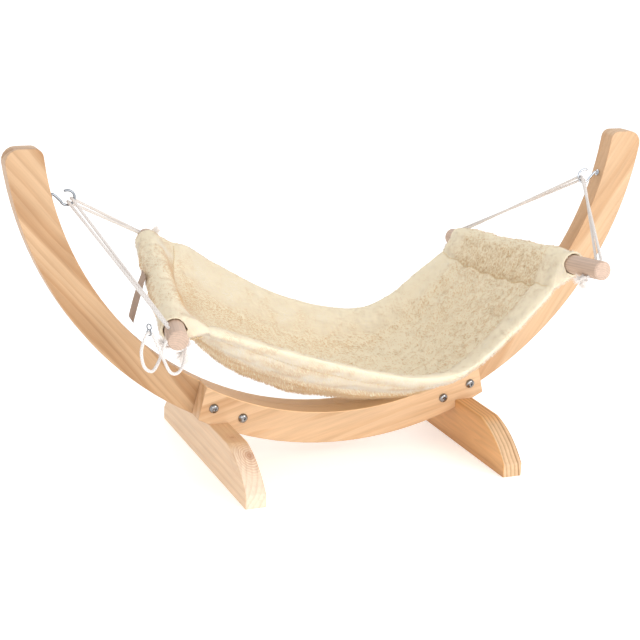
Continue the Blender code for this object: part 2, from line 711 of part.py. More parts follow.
def make_knots(parts, cutters):
    """One knot under each dowel end, tying both cords, with frayed tails."""
    for label, side in (("left", -1), ("right", 1)):
        for end, from_far in (("near", False), ("far", True)):
            name = f"{label}_{end}_knot"
            shape = bmesh.new()
            bmesh.ops.create_icosphere(shape, subdivisions=2, radius=1.0)
            bmesh.ops.scale(shape, vec=KNOT_HALF_SIZE, verts=shape.verts)
            mesh = bpy.data.meshes.new(name)
            shape.to_mesh(mesh)
            shape.free()
            knot = bpy.data.objects.new(name, mesh)
            bpy.context.scene.collection.objects.link(knot)
            knot.matrix_world = knot_frame(side, from_far)
            centre = knot.matrix_world.translation
            across = knot.matrix_world.to_3x3().col[0]
            outward = knot.matrix_world.to_3x3().col[1] * (1 if from_far else -1)
            spreads = (1,) if name == "left_near_knot" else (-1, 1)
            for spread in spreads:
                middle = centre + (outward * 0.2 + across * 0.15 * spread) * KNOT_TAIL
                tip = centre + (outward * 0.4 + across * 0.3 * spread) * KNOT_TAIL
                tip.z -= KNOT_TAIL * (1.0 - 0.15 * spread)
                middle.z -= KNOT_TAIL * 0.4
                tail = tube(f"{name}_tail", [centre, middle, tip], CORD_RADIUS)
                boolean(knot, mark_cutter(tail, cutters), "UNION")
            finish(knot, COTTON, parts, 60)


def sheet_lines():
    """The rims and the middle line as fine chains, tunnel centre to tunnel centre."""
    lines = []
    left_axis = [dowel_place(dowel_ends(-1), d) for d in LEFT_TUNNEL]
    right_axis = [dowel_place(dowel_ends(1), d) for d in RIGHT_TUNNEL]
    for across, inner in ((0.0, NEAR_RIM), (0.5, MIDDLE_LINE), (1.0, FAR_RIM)):
        start = left_axis[0].lerp(left_axis[1], across)
        end = right_axis[0].lerp(right_axis[1], across)
        places = [start.lerp(end, share) + Vector((0.0, back, -drop)) for share, drop, back in inner]
        lines.append(smooth_route([start, *places, end], SHEET_STEP))
    return lines


def at_share(line, share):
    """A place on a chain of evenly spaced points."""
    position = max(0.0, min(1.0, share)) * (len(line) - 1)
    k = min(int(position), len(line) - 2)
    return line[k].lerp(line[k + 1], position - k)


def sheet_place(lines, u, v):
    """Centre of the sheet, u from left to right and v from near to far, with its folds."""
    near, middle, far = (at_share(line, u) for line in lines)
    place = near * (1 - v) * (1 - 2 * v) + middle * 4 * v * (1 - v) + far * v * (2 * v - 1)
    left_fade = math.exp(-u / FOLD_REACH) * math.sin(math.pi * min(1.0, u / 0.2) / 2)
    right_fade = math.exp(-(1 - u) / FOLD_REACH) * math.sin(math.pi * min(1.0, (1 - u) / 0.2) / 2)
    wave = left_fade * math.sin(2 * math.pi * LEFT_FOLDS * v + 0.6)
    wave += right_fade * math.sin(2 * math.pi * RIGHT_FOLDS * v + 1.1 + 1.5 * u)
    return place + Vector((0.0, 0.0, FOLD_HEIGHT * wave))


def sheet_normal(lines, u, v):
    along = sheet_place(lines, min(1.0, u + 0.01), v) - sheet_place(lines, max(0.0, u - 0.01), v)
    across = sheet_place(lines, u, min(1.0, v + 0.02)) - sheet_place(lines, u, max(0.0, v - 0.02))
    return along.cross(across).normalized()


def tunnel_arc(centre, inward, up, slope):
    """Outer side of a tunnel, from its lower to its upper tangent place."""
    points = []
    for i in range(TUNNEL_ARC_STEPS + 1):
        angle = -(math.pi / 2 - slope) - (math.pi + 2 * slope) * i / TUNNEL_ARC_STEPS
        points.append(centre + TUNNEL_OUTER_RADIUS * (inward * math.cos(angle) + up * math.sin(angle)))
    return points


def sling_section(lines, v):
    """Closed outline of the sling at one place across: tunnel, top, tunnel, underside."""
    length = sum((b - a).length for a, b in zip(lines[1], lines[1][1:]))
    sine = (TUNNEL_OUTER_RADIUS - SLING_HALF_THICKNESS) / SEAM_DISTANCE
    slope = math.asin(sine)
    first = TUNNEL_OUTER_RADIUS * sine
    ramp = [first + (SEAM_DISTANCE - first) * k / 3 for k in range(4)]
    shares = [d / length for d in ramp]
    inner = [shares[-1] + (1 - 2 * shares[-1]) * k / SLING_SPANS for k in range(1, SLING_SPANS)]
    all_shares = [*shares, *inner, *(1 - s for s in reversed(shares))]
    top, bottom = [], []
    for share in all_shares:
        distance = min(share, 1 - share) * length
        half = SLING_HALF_THICKNESS
        if distance < SEAM_DISTANCE:
            half = TUNNEL_OUTER_RADIUS * math.cos(slope) - (distance - first) * math.tan(slope)
        normal = sheet_normal(lines, share, v)
        centre = sheet_place(lines, share, v)
        top.append(centre + normal * half)
        bottom.append(centre - normal * half)
    ends = []
    for share, side, tunnel in ((0.0, -1, LEFT_TUNNEL), (1.0, 1, RIGHT_TUNNEL)):
        dowel = dowel_ends(side)
        axis = (dowel[1] - dowel[0]).normalized()
        centre = dowel_place(dowel, tunnel[0] + (tunnel[1] - tunnel[0]) * v)
        inward = sheet_place(lines, abs(share - first / length), v) - centre
        inward = (inward - inward.dot(axis) * axis).normalized()
        up = inward.cross(axis) * (1 if share == 0.0 else -1)
        ends.append(tunnel_arc(centre, inward, up, slope))
    left, right = ends
    return [*left[1:-1], *top, *reversed(right[1:-1]), *reversed(bottom)]


def make_sling(parts, cutters):
    """The plush sheet with a tunnel round each dowel, as one closed solid."""
    lines = sheet_lines()
    sections = [sling_section(lines, k / SLING_STRIPS) for k in range(SLING_STRIPS + 1)]
    shape = bmesh.new()
    rings = [[shape.verts.new(p) for p in section] for section in sections]
    count = len(rings[0])
    for ring, following in zip(rings, rings[1:]):
        for k in range(count):
            m = (k + 1) % count
            shape.faces.new((ring[k], ring[m], following[m], following[k]))
    for ring in (rings[0], rings[-1]):
        cap_section(shape, ring)
    bmesh.ops.recalc_face_normals(shape, faces=shape.faces)
    mesh = bpy.data.meshes.new("plush_sling")
    shape.to_mesh(mesh)
    shape.free()
    sling = bpy.data.objects.new("plush_sling", mesh)
    bpy.context.scene.collection.objects.link(sling)
    for side in (-1, 1):
        near, far = dowel_ends(side)
        axis = (far - near).normalized()
        bore = rod_cutter("tunnel", TUNNEL_INNER_RADIUS, near - axis * DOWEL_RADIUS,
                          far + axis * DOWEL_RADIUS, cutters)
        boolean(sling, bore)
    finish(sling, PLUSH, parts, 40)


def cap_section(shape, ring):
    """Close an end section with a fan over each tunnel and strips along the sheet."""
    arc = TUNNEL_ARC_STEPS - 1
    side = (len(ring) - 2 * arc) // 2
    left = ring[:arc]
    top = ring[arc:arc + side]
    right = ring[arc + side:2 * arc + side]
    bottom = list(reversed(ring[2 * arc + side:]))
    shape.faces.new([bottom[0], *left, top[0]])
    shape.faces.new([top[-1], *right, bottom[-1]])
    for k in range(side - 1):
        shape.faces.new((bottom[k], top[k], top[k + 1], bottom[k + 1]))


def tail_places():
    """Route of the tail: it leaves the knot's surface and then follows its own points."""
    near, _ = dowel_ends(-1)
    places = [near + Vector(offset) for offset in TAIL_ROUTE]
    frame = knot_frame(-1, False)
    toward = frame.to_3x3().inverted() @ (places[0] - frame.translation)
    toward.normalize()
    scaled = [toward[k] / KNOT_HALF_SIZE[k] for k in range(3)]
    reach = 1 / math.sqrt(sum(value ** 2 for value in scaled)) + 1.5 * GAP
    start = frame @ (toward * reach)
    return [start, start.lerp(places[0], 0.4), *places]


def make_tail(parts):
    """Loose tail of cord that hangs in a loop under the left dowel's near end."""
    route = smooth_route(tail_places(), CORD_STEP / 2)
    tail = tube("tail_cord", route, CORD_RADIUS)
    finish(tail, COTTON, parts, 60)


def ring_mesh(name, radius, wire_radius, steps=18, sides=8):
    """A closed ring of round wire about local Z."""
    shape = bmesh.new()
    rings = []
    for i in range(steps):
        a = 2 * math.pi * i / steps
        out = Vector((math.cos(a), math.sin(a), 0.0))
        ring = []
        for k in range(sides):
            b = 2 * math.pi * k / sides
            offset = out * math.cos(b) + Vector((0.0, 0.0, 1.0)) * math.sin(b)
            ring.append(shape.verts.new(out * radius + offset * wire_radius))
        rings.append(ring)
    for i in range(steps):
        ring, following = rings[i], rings[(i + 1) % steps]
        for k in range(sides):
            m = (k + 1) % sides
            shape.faces.new((ring[k], ring[m], following[m], following[k]))
    bmesh.ops.recalc_face_normals(shape, faces=shape.faces)
    mesh = bpy.data.meshes.new(name)
    shape.to_mesh(mesh)
    shape.free()
    return mesh


def make_ring(parts, cutters):
    """Adjuster: two fused wire rings, one above the other; the tail runs through the lower."""
    ring = bpy.data.objects.new("adjuster_ring", ring_mesh("adjuster_ring", RING_RADIUS, RING_WIRE_RADIUS))
    bpy.context.scene.collection.objects.link(ring)
    centre = dowel_ends(-1)[0] + Vector(TAIL_ROUTE[RING_PLACE])
    ring.matrix_world = frame_along(RING_NORMAL, centre)
    upper = bpy.data.objects.new("upper_ring", ring_mesh("upper_ring", RING_RADIUS, RING_WIRE_RADIUS))
    rise = Vector((0.0, 0.0, 2 * RING_RADIUS))
    upper.matrix_world = frame_along(RING_NORMAL, centre + rise)
    boolean(ring, mark_cutter(upper, cutters), "UNION")
    finish(ring, ZINC, parts, 50)


def make_label(parts):
    """Plain label hanging from the outer side of the left tunnel."""
    near, far = dowel_ends(-1)
    axis = (far - near).normalized()
    centre = near + axis * LABEL_DISTANCE
    outward = Vector((-math.cos(LABEL_LEAN), 0.0, math.sin(LABEL_LEAN)))
    outward = (outward - outward.dot(axis) * axis).normalized()
    upward = outward.cross(axis)
    upward = upward if upward.z > 0 else -upward
    place = centre + outward * (TUNNEL_OUTER_RADIUS + GAP + LABEL_THICKNESS / 2)
    place -= upward * (LABEL_LENGTH / 2 - LABEL_SEAM)
    shape = bmesh.new()
    bmesh.ops.create_cube(shape, size=1.0)
    bmesh.ops.scale(shape, vec=(LABEL_THICKNESS, LABEL_WIDTH, LABEL_LENGTH), verts=shape.verts)
    mesh = bpy.data.meshes.new("sewn_label")
    shape.to_mesh(mesh)
    shape.free()
    label = bpy.data.objects.new("sewn_label", mesh)
    bpy.context.scene.collection.objects.link(label)
    label.matrix_world = frame_along(upward, place, outward)
    finish(label, RIBBON, parts)


def main():
    clear_scene()
    parts = new_collection("cat_lounger")
    cutters = new_collection("cutters")
    make_arms(parts, cutters)
    make_brace(parts, cutters)
    make_feet(parts, cutters)
    make_bolts(parts, cutters)
    make_foot_screws(parts)
    make_hooks(parts, cutters)
    make_dowels(parts, cutters)
    make_cords(parts)
    make_knots(parts, cutters)
    make_sling(parts, cutters)
    make_tail(parts)
    make_ring(parts, cutters)
    make_label(parts)


if __name__ == "__main__":
    main()
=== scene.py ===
import json
import math

import bmesh
import bpy
import numpy as np
from mathutils import Matrix, Vector, noise

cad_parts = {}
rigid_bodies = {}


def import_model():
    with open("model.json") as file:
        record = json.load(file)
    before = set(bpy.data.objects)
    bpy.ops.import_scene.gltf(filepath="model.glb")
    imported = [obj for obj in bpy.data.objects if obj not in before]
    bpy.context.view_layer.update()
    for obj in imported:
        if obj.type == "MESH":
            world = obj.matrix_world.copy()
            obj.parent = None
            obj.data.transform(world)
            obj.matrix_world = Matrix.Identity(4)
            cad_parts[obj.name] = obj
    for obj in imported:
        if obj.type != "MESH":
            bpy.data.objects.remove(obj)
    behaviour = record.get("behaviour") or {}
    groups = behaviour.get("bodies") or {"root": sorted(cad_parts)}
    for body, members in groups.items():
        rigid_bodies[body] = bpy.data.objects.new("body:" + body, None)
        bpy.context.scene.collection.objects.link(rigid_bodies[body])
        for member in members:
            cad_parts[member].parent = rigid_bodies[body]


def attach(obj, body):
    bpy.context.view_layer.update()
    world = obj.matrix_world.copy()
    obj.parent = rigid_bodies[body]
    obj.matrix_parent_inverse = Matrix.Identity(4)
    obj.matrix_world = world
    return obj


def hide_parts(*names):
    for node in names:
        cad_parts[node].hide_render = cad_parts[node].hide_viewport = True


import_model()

bl_info = {
    "name": "Crescent cat lounger",
    "version": (1, 0, 0),
    "blender": (4, 5, 0),
    "location": "3D View > Sidebar > Lounger",
    "description": "Dresses a crescent cat lounger with pine, steel, cotton cord and plush",
    "category": "Object",
}

UP = Vector((0.0, 0.0, 1.0))
SIDES = {"left": -1, "right": 1}

# Crescent: radius of each arc, and the height of its centre on the Z axis
INNER_ARC = (0.3261, 0.3752)
OUTER_ARC = (0.365, 0.379)

# Feet: distance from the middle, half width, and the heights where top and slopes change tone
FOOT_X = 0.1455
FOOT_HALF = 0.0110
FOOT_TOP = (0.0462, 0.0515)
FOOT_SLOPE = (0.0440, 0.0500)

# Hooks: centre of each curl, and the place where the shank leaves the arm
HOOK_CENTRES = {side: Vector((side * 0.298457, 0.011, 0.2915)) for side in SIDES.values()}
HOOK_ROOTS = {side: Vector((side * 0.315957, 0.011, 0.2945)) for side in SIDES.values()}
HOOK_WIRE = 0.0013
HOOK_CURL = 0.0075
HOOK_COLLAR = (0.0035, 0.0012)

# Dowels, near and far end, and the distances of their cord holes from the ends
DOWELS = {
    -1: (Vector((-0.234957, -0.158, 0.188)), Vector((-0.173957, 0.1585, 0.211))),
    1: (Vector((0.220957, -0.161, 0.228)), Vector((0.213957, 0.161, 0.190))),
}
DOWEL_RADIUS = 0.010
NEAR_HOLES = (0.0160, 0.0255)
FAR_HOLES = (0.0047, 0.0126)

# Cords: strands, height and length of the braid, share of the radius that it leaves to long
# cords and to short ends, step of a route, and room at the hooks
BRAID_STRANDS = 4
BRAID_DEPTH = 0.06
BRAID_PITCH = 0.0042
CORD_CORE = 0.97
END_CORE = 0.95
CORD_STEP = 0.0008
CORD_PLAY = 0.0006
CORD_SWAY_ROOM = 0.0009

# Knots: half sizes of the tied lump, and how far the ends hang down; frays: number, length
# and spread of the loose fibres
KNOT_SIZE = Vector((0.0042, 0.0066, 0.0036))
KNOT_HANG = {"left_near": 0.016, "left_far": 0.013, "right_near": 0.006, "right_far": 0.010}
FRAY_FIBRES = 150
FRAY_LENGTH = 0.0115
FRAY_SPREAD = 1.15

# Loose tail of cord, from the centre of the left dowel's near end
TAIL_ROUTE = (
    (0.0060, 0.0015, -0.0230), (-0.0030, -0.0100, -0.0275), (-0.0125, -0.0165, -0.0240),
    (-0.0200, -0.0165, -0.0090), (-0.0260, -0.0142, 0.0060), (-0.0290, -0.0135, 0.0125),
    (-0.0330, -0.0160, 0.0155), (-0.0372, -0.0186, 0.0120), (-0.0410, -0.0190, -0.0010),
    (-0.0375, -0.0170, -0.0165), (-0.0290, -0.0140, -0.0225), (-0.0220, -0.0117, -0.0140),
    (-0.0180, -0.0110, -0.0020), (-0.0150, -0.0100, 0.0035))

# Sling lines between the tunnels: share of the way, drop below the line, shift to the back
LEFT_TUNNEL = (0.0288, 0.3058)
RIGHT_TUNNEL = (0.0545, 0.3065)
NEAR_RIM = ((0.077, 0.005, -0.008), (0.302, 0.046, -0.012), (0.512, 0.082, -0.010),
            (0.644, 0.096, -0.006), (0.733, 0.092, -0.003), (0.858, 0.057, 0.001))
MIDDLE_LINE = ((0.121, 0.0680, 0.0), (0.262, 0.1065, 0.0), (0.364, 0.1240, 0.0),
               (0.531, 0.1370, 0.0), (0.650, 0.1345, 0.0), (0.769, 0.1115, 0.0),
               (0.876, 0.068, 0.0))
FAR_RIM = ((0.111, 0.005, -0.001), (0.203, 0.026, -0.005), (0.402, 0.063, -0.011),
           (0.606, 0.080, -0.015), (0.734, 0.071, -0.011), (0.861, 0.039, -0.005))

# Cloth: sizes in metres; each tack is a distance along the cloth and a row across it
CLOTH_WIDTH = 0.262
HALF_CLOTH = 0.0027
SEAM_DISTANCE = 0.036
BORDER = 0.038
HEM = 0.0145
TACKS = ((0.0185, 7), (0.0265, 8))
TUNNEL_RADIUS = 0.0139
CAVITY_RADIUS = 0.0106
CAVITY_TIP = 0.0132
ARC_STEPS = 18
FOLD_REACH = 0.28
LEFT_FOLDS = 5
RIGHT_FOLDS = 7
OPEN_START = 0.022
OPEN_REACH = 0.026

# Cloth simulation: points along and across, frames, largest move that is kept
DRAPE_GRID = (112, 58)
DRAPE_FRAMES = 26
DRAPE_LIMIT = 0.006
DRAPE_SETTINGS = {
    "quality": 6, "mass": 0.20, "tension_stiffness": 18.0, "compression_stiffness": 18.0,
    "shear_stiffness": 4.0, "bending_stiffness": 0.6, "vertex_group_mass": "held",
    "pin_stiffness": 0.6, "shrink_min": -0.028}

# Pile: lean and spread of the tufts, share of their normals taken from the cloth; stitches
PILE_LEAN = (0.35, -0.15, -1.30)
PILE_SPREAD = 0.60
PILE_FOLLOW = 0.88
STITCH_SPACING = 0.0040
STITCH_SIZE = 0.0030

# Height and width of what the sewing draws in: seams, hems, the border's crease, and tacks
SEAM_DRAW = (0.0013, 0.0030)
HEM_DRAW = (0.0008, 0.0026)
CREASE_DRAW = (0.0009, 0.0040)
TACK_DRAW = (0.0016, 0.0038)

# Relief: plump border, wrinkles as height, size and offset, gathers on the left and streaks on
# the right as height and reach in points
BORDER_PUFF = 0.0032
BORDER_LIFT = 0.0018
WRINKLES = ((0.0012, 0.030, (0, 0, 0)), (0.0010, 0.013, (3, 1, 2)))
GATHERS = (0.0022, 14)
STREAKS = (0.0013, 40)

# Label: width and length, place along the left dowel and off its centre line, lean in degrees
LABEL_SIZE = (0.020, 0.052)
LABEL_PLACE = (0.1725, 0.0175)
LABEL_LEAN = 13

# Camera: azimuth, elevation and roll in degrees, target, focal length in millimetres
CAMERA_TURN = (-23.143, 16.258, 2.395)
CAMERA_TARGET = Vector((-0.0268, -0.0036, 0.1489))
CAMERA_LENS = 86.88


# Settings

def colour_setting(name, description, default):
    return bpy.props.FloatVectorProperty(
        name=name, description=description, default=default, subtype="COLOR", size=3)


def length_setting(name, description, default, low, high):
    return bpy.props.FloatProperty(
        name=name, description=description, default=default, min=low, max=high, unit="LENGTH")


def light_setting(name, description, default, high, subtype="NONE"):
    return bpy.props.FloatProperty(
        name=name, description=description, default=default, min=0.0, max=high, subtype=subtype)


class LoungerWood(bpy.types.PropertyGroup):
    early: colour_setting("Early wood", "Colour of the pale wood between the rings",
                          (0.675, 0.450, 0.270))
    late: colour_setting("Late wood", "Colour of the darker ring lines", (0.46, 0.238, 0.102))
    edge: colour_setting("Sawn edge", "Colour of the curved sawn edges", (0.58, 0.315, 0.155))
    dowel: colour_setting("Dowel", "Colour of the dowels", (0.60, 0.435, 0.335))
    ring_width: length_setting("Ring width", "Distance between two year rings",
                               0.0180, 0.001, 0.04)


class LoungerMetal(bpy.types.PropertyGroup):
    chrome: colour_setting("Bolt colour", "Colour of the plated bolt heads", (0.30, 0.29, 0.29))
    steel: colour_setting("Steel colour", "Colour of hooks, nuts, washers and screws",
                          (0.30, 0.32, 0.35))


class LoungerCord(bpy.types.PropertyGroup):
    diameter: length_setting("Cord diameter", "Diameter of the braided cotton cord",
                             0.0032, 0.001, 0.006)
    colour: colour_setting("Cord colour", "Colour of the cotton", (0.81, 0.765, 0.73))


class LoungerSling(bpy.types.PropertyGroup):
    half_thickness: length_setting("Half thickness", "Half the thickness of both layers of cloth",
                                   HALF_CLOTH, 0.001, 0.006)
    pile_length: length_setting("Pile length", "Length of a tuft of the plush",
                                0.0032, 0.0005, 0.008)
    tufts: bpy.props.IntProperty(
        name="Tufts", description="Number of tufts on each side of the cloth",
        default=60000, min=1000, max=64000)
    ivory: colour_setting("Pile colour", "Colour of the tips of the plush", (0.94, 0.88, 0.775))
    # The pile shade is painted shade at the tuft roots, in the hollows, inside the border and
    # towards the right side; it is also the deeper tone of the random mottling
    shade: colour_setting("Pile shade", "Colour at the roots of the plush", (0.75, 0.48, 0.24))
    fold_height: length_setting("Fold height", "Height of the long folds that run from the tunnels",
                                0.0034, 0.0, 0.006)


class LoungerStage(bpy.types.PropertyGroup):
    distance: length_setting("Camera distance", "Distance of the camera from its target",
                             1.6609, 0.5, 5.0)
    daylight: light_setting("Daylight", "Strength of the even light from all round", 0.82, 2.0)
    table_glow: light_setting("Table glow", "Light that the pale table gives off by itself",
                              0.42, 2.0)
    key: light_setting("Key light", "Power of the large soft lamp", 13.0, 500.0, "POWER")


# Meshes and routes

def link(name, mesh):
    if name in bpy.data.objects:
        raise RuntimeError(f"there is already an object named {name}")
    obj = bpy.data.objects.new(name, mesh)
    bpy.context.scene.collection.objects.link(obj)
    return obj


def mesh_piece(name, points, faces):
    mesh = bpy.data.meshes.new(name)
    mesh.from_pydata([tuple(p) for p in points], [], faces)
    mesh.validate()
    mesh.shade_smooth()
    return link(name, mesh)


def mark_points(piece, marks):
    """Store lists of numbers on the first points of a piece, 0 on the others."""
    count = len(piece.data.vertices)
    for label, values in marks.items():
        attribute = piece.data.attributes.new(label, "FLOAT", "POINT")
        attribute.data.foreach_set("value", [*values, *([0.0] * (count - len(values)))])


def paint(obj, material):
    for slot in obj.material_slots:
        slot.material = material


def dress(piece, material, body, slot, *nodes):
    piece.data.materials.clear()
    piece.data.materials.append(material)
    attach(piece, body)
    if nodes:
        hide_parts(*nodes)
    return piece


def merge(obj, distance=1e-6):
    shape = bmesh.new()
    shape.from_mesh(obj.data)
    bmesh.ops.remove_doubles(shape, verts=shape.verts, dist=distance)
    bmesh.ops.dissolve_degenerate(shape, edges=shape.edges, dist=1e-7)
    bmesh.ops.recalc_face_normals(shape, faces=shape.faces)
    shape.to_mesh(obj.data)
    shape.free()


def grid_faces(first, count, rows, closed=True):
    """Faces of a grid of points, row after row; a closed one runs round each row."""
    faces = []
    for j in range(rows - 1):
        for k in range(count if closed else count - 1):
            m = (k + 1) % count
            a, b = first + j * count, first + (j + 1) * count
            faces.append((a + k, a + m, b + m, b + k))
    return faces


def smooth_route(points, step):
    """Points at an even step along a Catmull-Rom curve through the given points."""
    places = [Vector(p) for p in points]
    places = [2 * places[0] - places[1], *places, 2 * places[-1] - places[-2]]
    fine = []
    for a, b, c, d in zip(places, places[1:], places[2:], places[3:]):
        for k in range(16):
            t = k / 16
            fine.append(0.5 * (2 * b + (c - a) * t + (2 * a - 5 * b + 4 * c - d) * t ** 2
                               + (3 * b - a - 3 * c + d) * t ** 3))
    fine.append(places[-2])
    lengths = [0.0]
    for a, b in zip(fine, fine[1:]):
        lengths.append(lengths[-1] + (b - a).length)
    count = max(2, round(lengths[-1] / step))
    route, k = [], 0
    for i in range(count + 1):
        target = lengths[-1] * i / count
        while k < len(fine) - 2 and lengths[k + 1] < target:
            k += 1
        span = max(lengths[k + 1] - lengths[k], 1e-9)
        route.append(fine[k].lerp(fine[k + 1], min(1.0, (target - lengths[k]) / span)))
    return route


def route_length(route):
    return sum((b - a).length for a, b in zip(route, route[1:]))


def sweep(name, route, radius, sides, relief=None):
    """A closed tube with rounded ends; UV runs once round it, and in metres along it."""
    last = len(route) - 1
    tangents = [(route[min(last, i + 1)] - route[max(0, i - 1)]).normalized()
                for i in range(last + 1)]
    side = tangents[0].orthogonal().normalized()
    spans, distance = [], 0.0
    for i, (place, tangent) in enumerate(zip(route, tangents)):
        if i:
            distance += (place - route[i - 1]).length
        side = (side - side.dot(tangent) * tangent).normalized()
        spans.append((place, tangent, side.copy(), distance, 1.0))
    caps = []
    for way, (place, tangent, across, distance, _) in ((-1, spans[0]), (1, spans[-1])):
        caps.append([(place + tangent * way * radius * math.sin(a), tangent, across,
                      distance + way * radius * a, math.cos(a)) for a in (0.4, 0.8, 1.2)])
    points, along = [], []
    for place, tangent, across, distance, narrow in [*reversed(caps[0]), *spans, *caps[1]]:
        other = tangent.cross(across)
        along.append(distance)
        for k in range(sides):
            angle = 2 * math.pi * k / sides
            r = radius * narrow * (1 + relief(distance, k / sides) if relief else 1)
            points.append(place + (across * math.cos(angle) + other * math.sin(angle)) * r)
    faces = grid_faces(0, sides, len(along))
    uvs = [(k / sides, at) for a, b in zip(along, along[1:]) for n in range(sides)
           for k, at in ((n, a), (n + 1, a), (n + 1, b), (n, b))]
    first = len(points) - sides
    faces += [tuple(reversed(range(sides))), tuple(range(first, first + sides))]
    uvs += [(0.5, along[0])] * sides + [(0.5, along[-1])] * sides
    piece = mesh_piece(name, points, faces)
    layer = piece.data.uv_layers.new(name="along")
    layer.data.foreach_set("uv", np.array(uvs, dtype=np.float32).ravel())
    return piece


def frame_along(axis, place, side=UP):
    z = axis.normalized()
    x = (side - side.dot(z) * z).normalized()
    matrix = Matrix((x, z.cross(x), z)).transposed().to_4x4()
    matrix.translation = place
    return matrix


def lathe(profile, matrix, steps=32):
    """Points and faces of a closed solid turned about the matrix's Z; ends on the axis."""
    points, rows, faces = [], [], []
    for r, z in profile:
        count = 1 if r < 1e-9 else steps
        rows.append(range(len(points), len(points) + count))
        angles = (2 * math.pi * k / steps for k in range(count))
        points += [matrix @ Vector((r * math.cos(a), r * math.sin(a), z)) for a in angles]
    for row, following in zip(rows, rows[1:]):
        for k in range(steps):
            m = (k + 1) % steps
            if len(row) == 1:
                faces.append((row[0], following[k], following[m]))
            elif len(following) == 1:
                faces.append((row[k], following[0], row[m]))
            else:
                faces.append((row[k], following[k], following[m], row[m]))
    return points, faces


# Nodes

class Flow:
    """A node's output, as a number or vector that +, -, * and / work on."""

    def __init__(self, nodes, socket):
        self.nodes, self.socket = nodes, socket

    def __add__(self, other):
        return self.nodes.math("ADD", self, other)

    def __sub__(self, other):
        return self.nodes.math("SUBTRACT", self, other)

    def __mul__(self, other):
        return self.nodes.math("MULTIPLY", self, other)

    def __truediv__(self, other):
        return self.nodes.math("DIVIDE", self, other)

    def remap(self, low, high, to_low=0.0, to_high=1.0, kind="SMOOTHSTEP"):
        node = self.nodes.tree.nodes.new("ShaderNodeMapRange")
        node.interpolation_type = kind
        for socket, value in zip(node.inputs, (self, low, high, to_low, to_high)):
            self.nodes.put(socket, value)
        return Flow(self.nodes, node.outputs[0])


def many(value):
    """Whether a value is a vector or colour, and no single number."""
    if isinstance(value, Flow):
        return value.socket.type in ("VECTOR", "RGBA")
    return hasattr(value, "__len__")


class Nodes:
    """Short way to add and wire nodes in one tree."""

    def __init__(self, tree):
        self.tree = tree

    def put(self, socket, value):
        if isinstance(value, Flow):
            self.tree.links.new(value.socket, socket)
        elif socket.type == "RGBA":
            socket.default_value = (*tuple(value)[:3], 1.0)
        else:
            socket.default_value = value

    def node(self, kind, **values):
        """Outputs of a new node; names in lower case are its options, others its sockets."""
        node = self.tree.nodes.new(kind)
        for name, value in values.items():
            if name[0].islower():
                setattr(node, name, value)
        for name, value in values.items():
            if name[0].isupper():
                self.put(node.inputs[name.replace("_", " ")], value)
        return {socket.name: Flow(self, socket) for socket in node.outputs if socket.enabled}

    def add(self, kind, **values):
        """First output of a new node."""
        return next(iter(self.node(kind, **values).values()))

    def math(self, operation, *values, clamp=False):
        """Math node, or Vector Math where the first value is a vector."""
        if many(values[0]):
            node = self.tree.nodes.new("ShaderNodeVectorMath")
            if operation == "MULTIPLY" and not many(values[1]):
                operation = "SCALE"
            node.operation = operation
        else:
            node = self.tree.nodes.new("ShaderNodeMath")
            node.operation, node.use_clamp = operation, clamp
        sockets = [socket for socket in node.inputs if socket.enabled]
        for socket, value in zip(sockets, values):
            self.put(socket, value)
        return Flow(self, next(socket for socket in node.outputs if socket.enabled))

    def mix(self, factor, a, b):
        return self.add("ShaderNodeMix", data_type="RGBA", Factor=factor, A=a, B=b)

    def noise(self, place, scale, detail=2.0, roughness=0.5, output="Fac", distortion=0.0):
        return self.node("ShaderNodeTexNoise", Vector=place, Scale=scale, Detail=detail,
                         Roughness=roughness, Distortion=distortion)[output]

    def split(self, vector):
        return list(self.node("ShaderNodeSeparateXYZ", Vector=vector).values())

    def attribute(self, name):
        return self.node("ShaderNodeAttribute", attribute_name=name)["Fac"]

    def painted(self, instances, material):
        """Instances made real, with their material."""
        real = self.add("GeometryNodeRealizeInstances", Geometry=instances)
        return self.add("GeometryNodeSetMaterial", Geometry=real, Material=material)


class Paint(Nodes):
    """Nodes of a new material round its Principled shader."""

    def __init__(self, name, **constants):
        self.material = bpy.data.materials.new(name)
        self.material.use_nodes = True
        super().__init__(self.material.node_tree)
        self.place = self.node("ShaderNodeTexCoord")["Object"]
        self.set(**constants)

    def set(self, **values):
        for label, value in values.items():
            self.put(self.tree.nodes["Principled BSDF"].inputs[label.replace("_", " ")], value)

    def bump(self, height, strength, distance):
        self.set(Normal=self.add("ShaderNodeBump", Strength=strength, Distance=distance,
                                 Height=height))


def once(make):
    """Make the material of a name, or give the one that is there."""
    def get(name, *values):
        return bpy.data.materials.get(name) or make(name, *values)
    return get


def shared_tree(kind, name, inputs, outputs):
    """Turn a function that wires nodes into one that gives its tree, made once.

    An input is a kind of socket or its first value; the function gives the outputs in order.
    """
    def make():
        tree = bpy.data.node_groups.new(name, kind)
        for way, sockets in (("INPUT", inputs), ("OUTPUT", outputs)):
            for label, what in sockets.items():
                sort = {float: "Float", int: "Int", tuple: "Vector"}.get(type(what), what)
                socket = tree.interface.new_socket(name=label, in_out=way,
                                                   socket_type="NodeSocket" + sort)
                if sort != what:
                    socket.default_value = what
        return tree

    def wrap(wire):
        def get():
            if name in bpy.data.node_groups:
                return bpy.data.node_groups[name]
            nodes = Nodes(make())
            results = wire(nodes, nodes.node("NodeGroupInput"))
            for socket, value in zip(nodes.tree.nodes.new("NodeGroupOutput").inputs, results):
                nodes.put(socket, value)
            return nodes.tree
        return get
    return wrap


# Shared effects

HALF = (0.5, 0.5, 0.5)


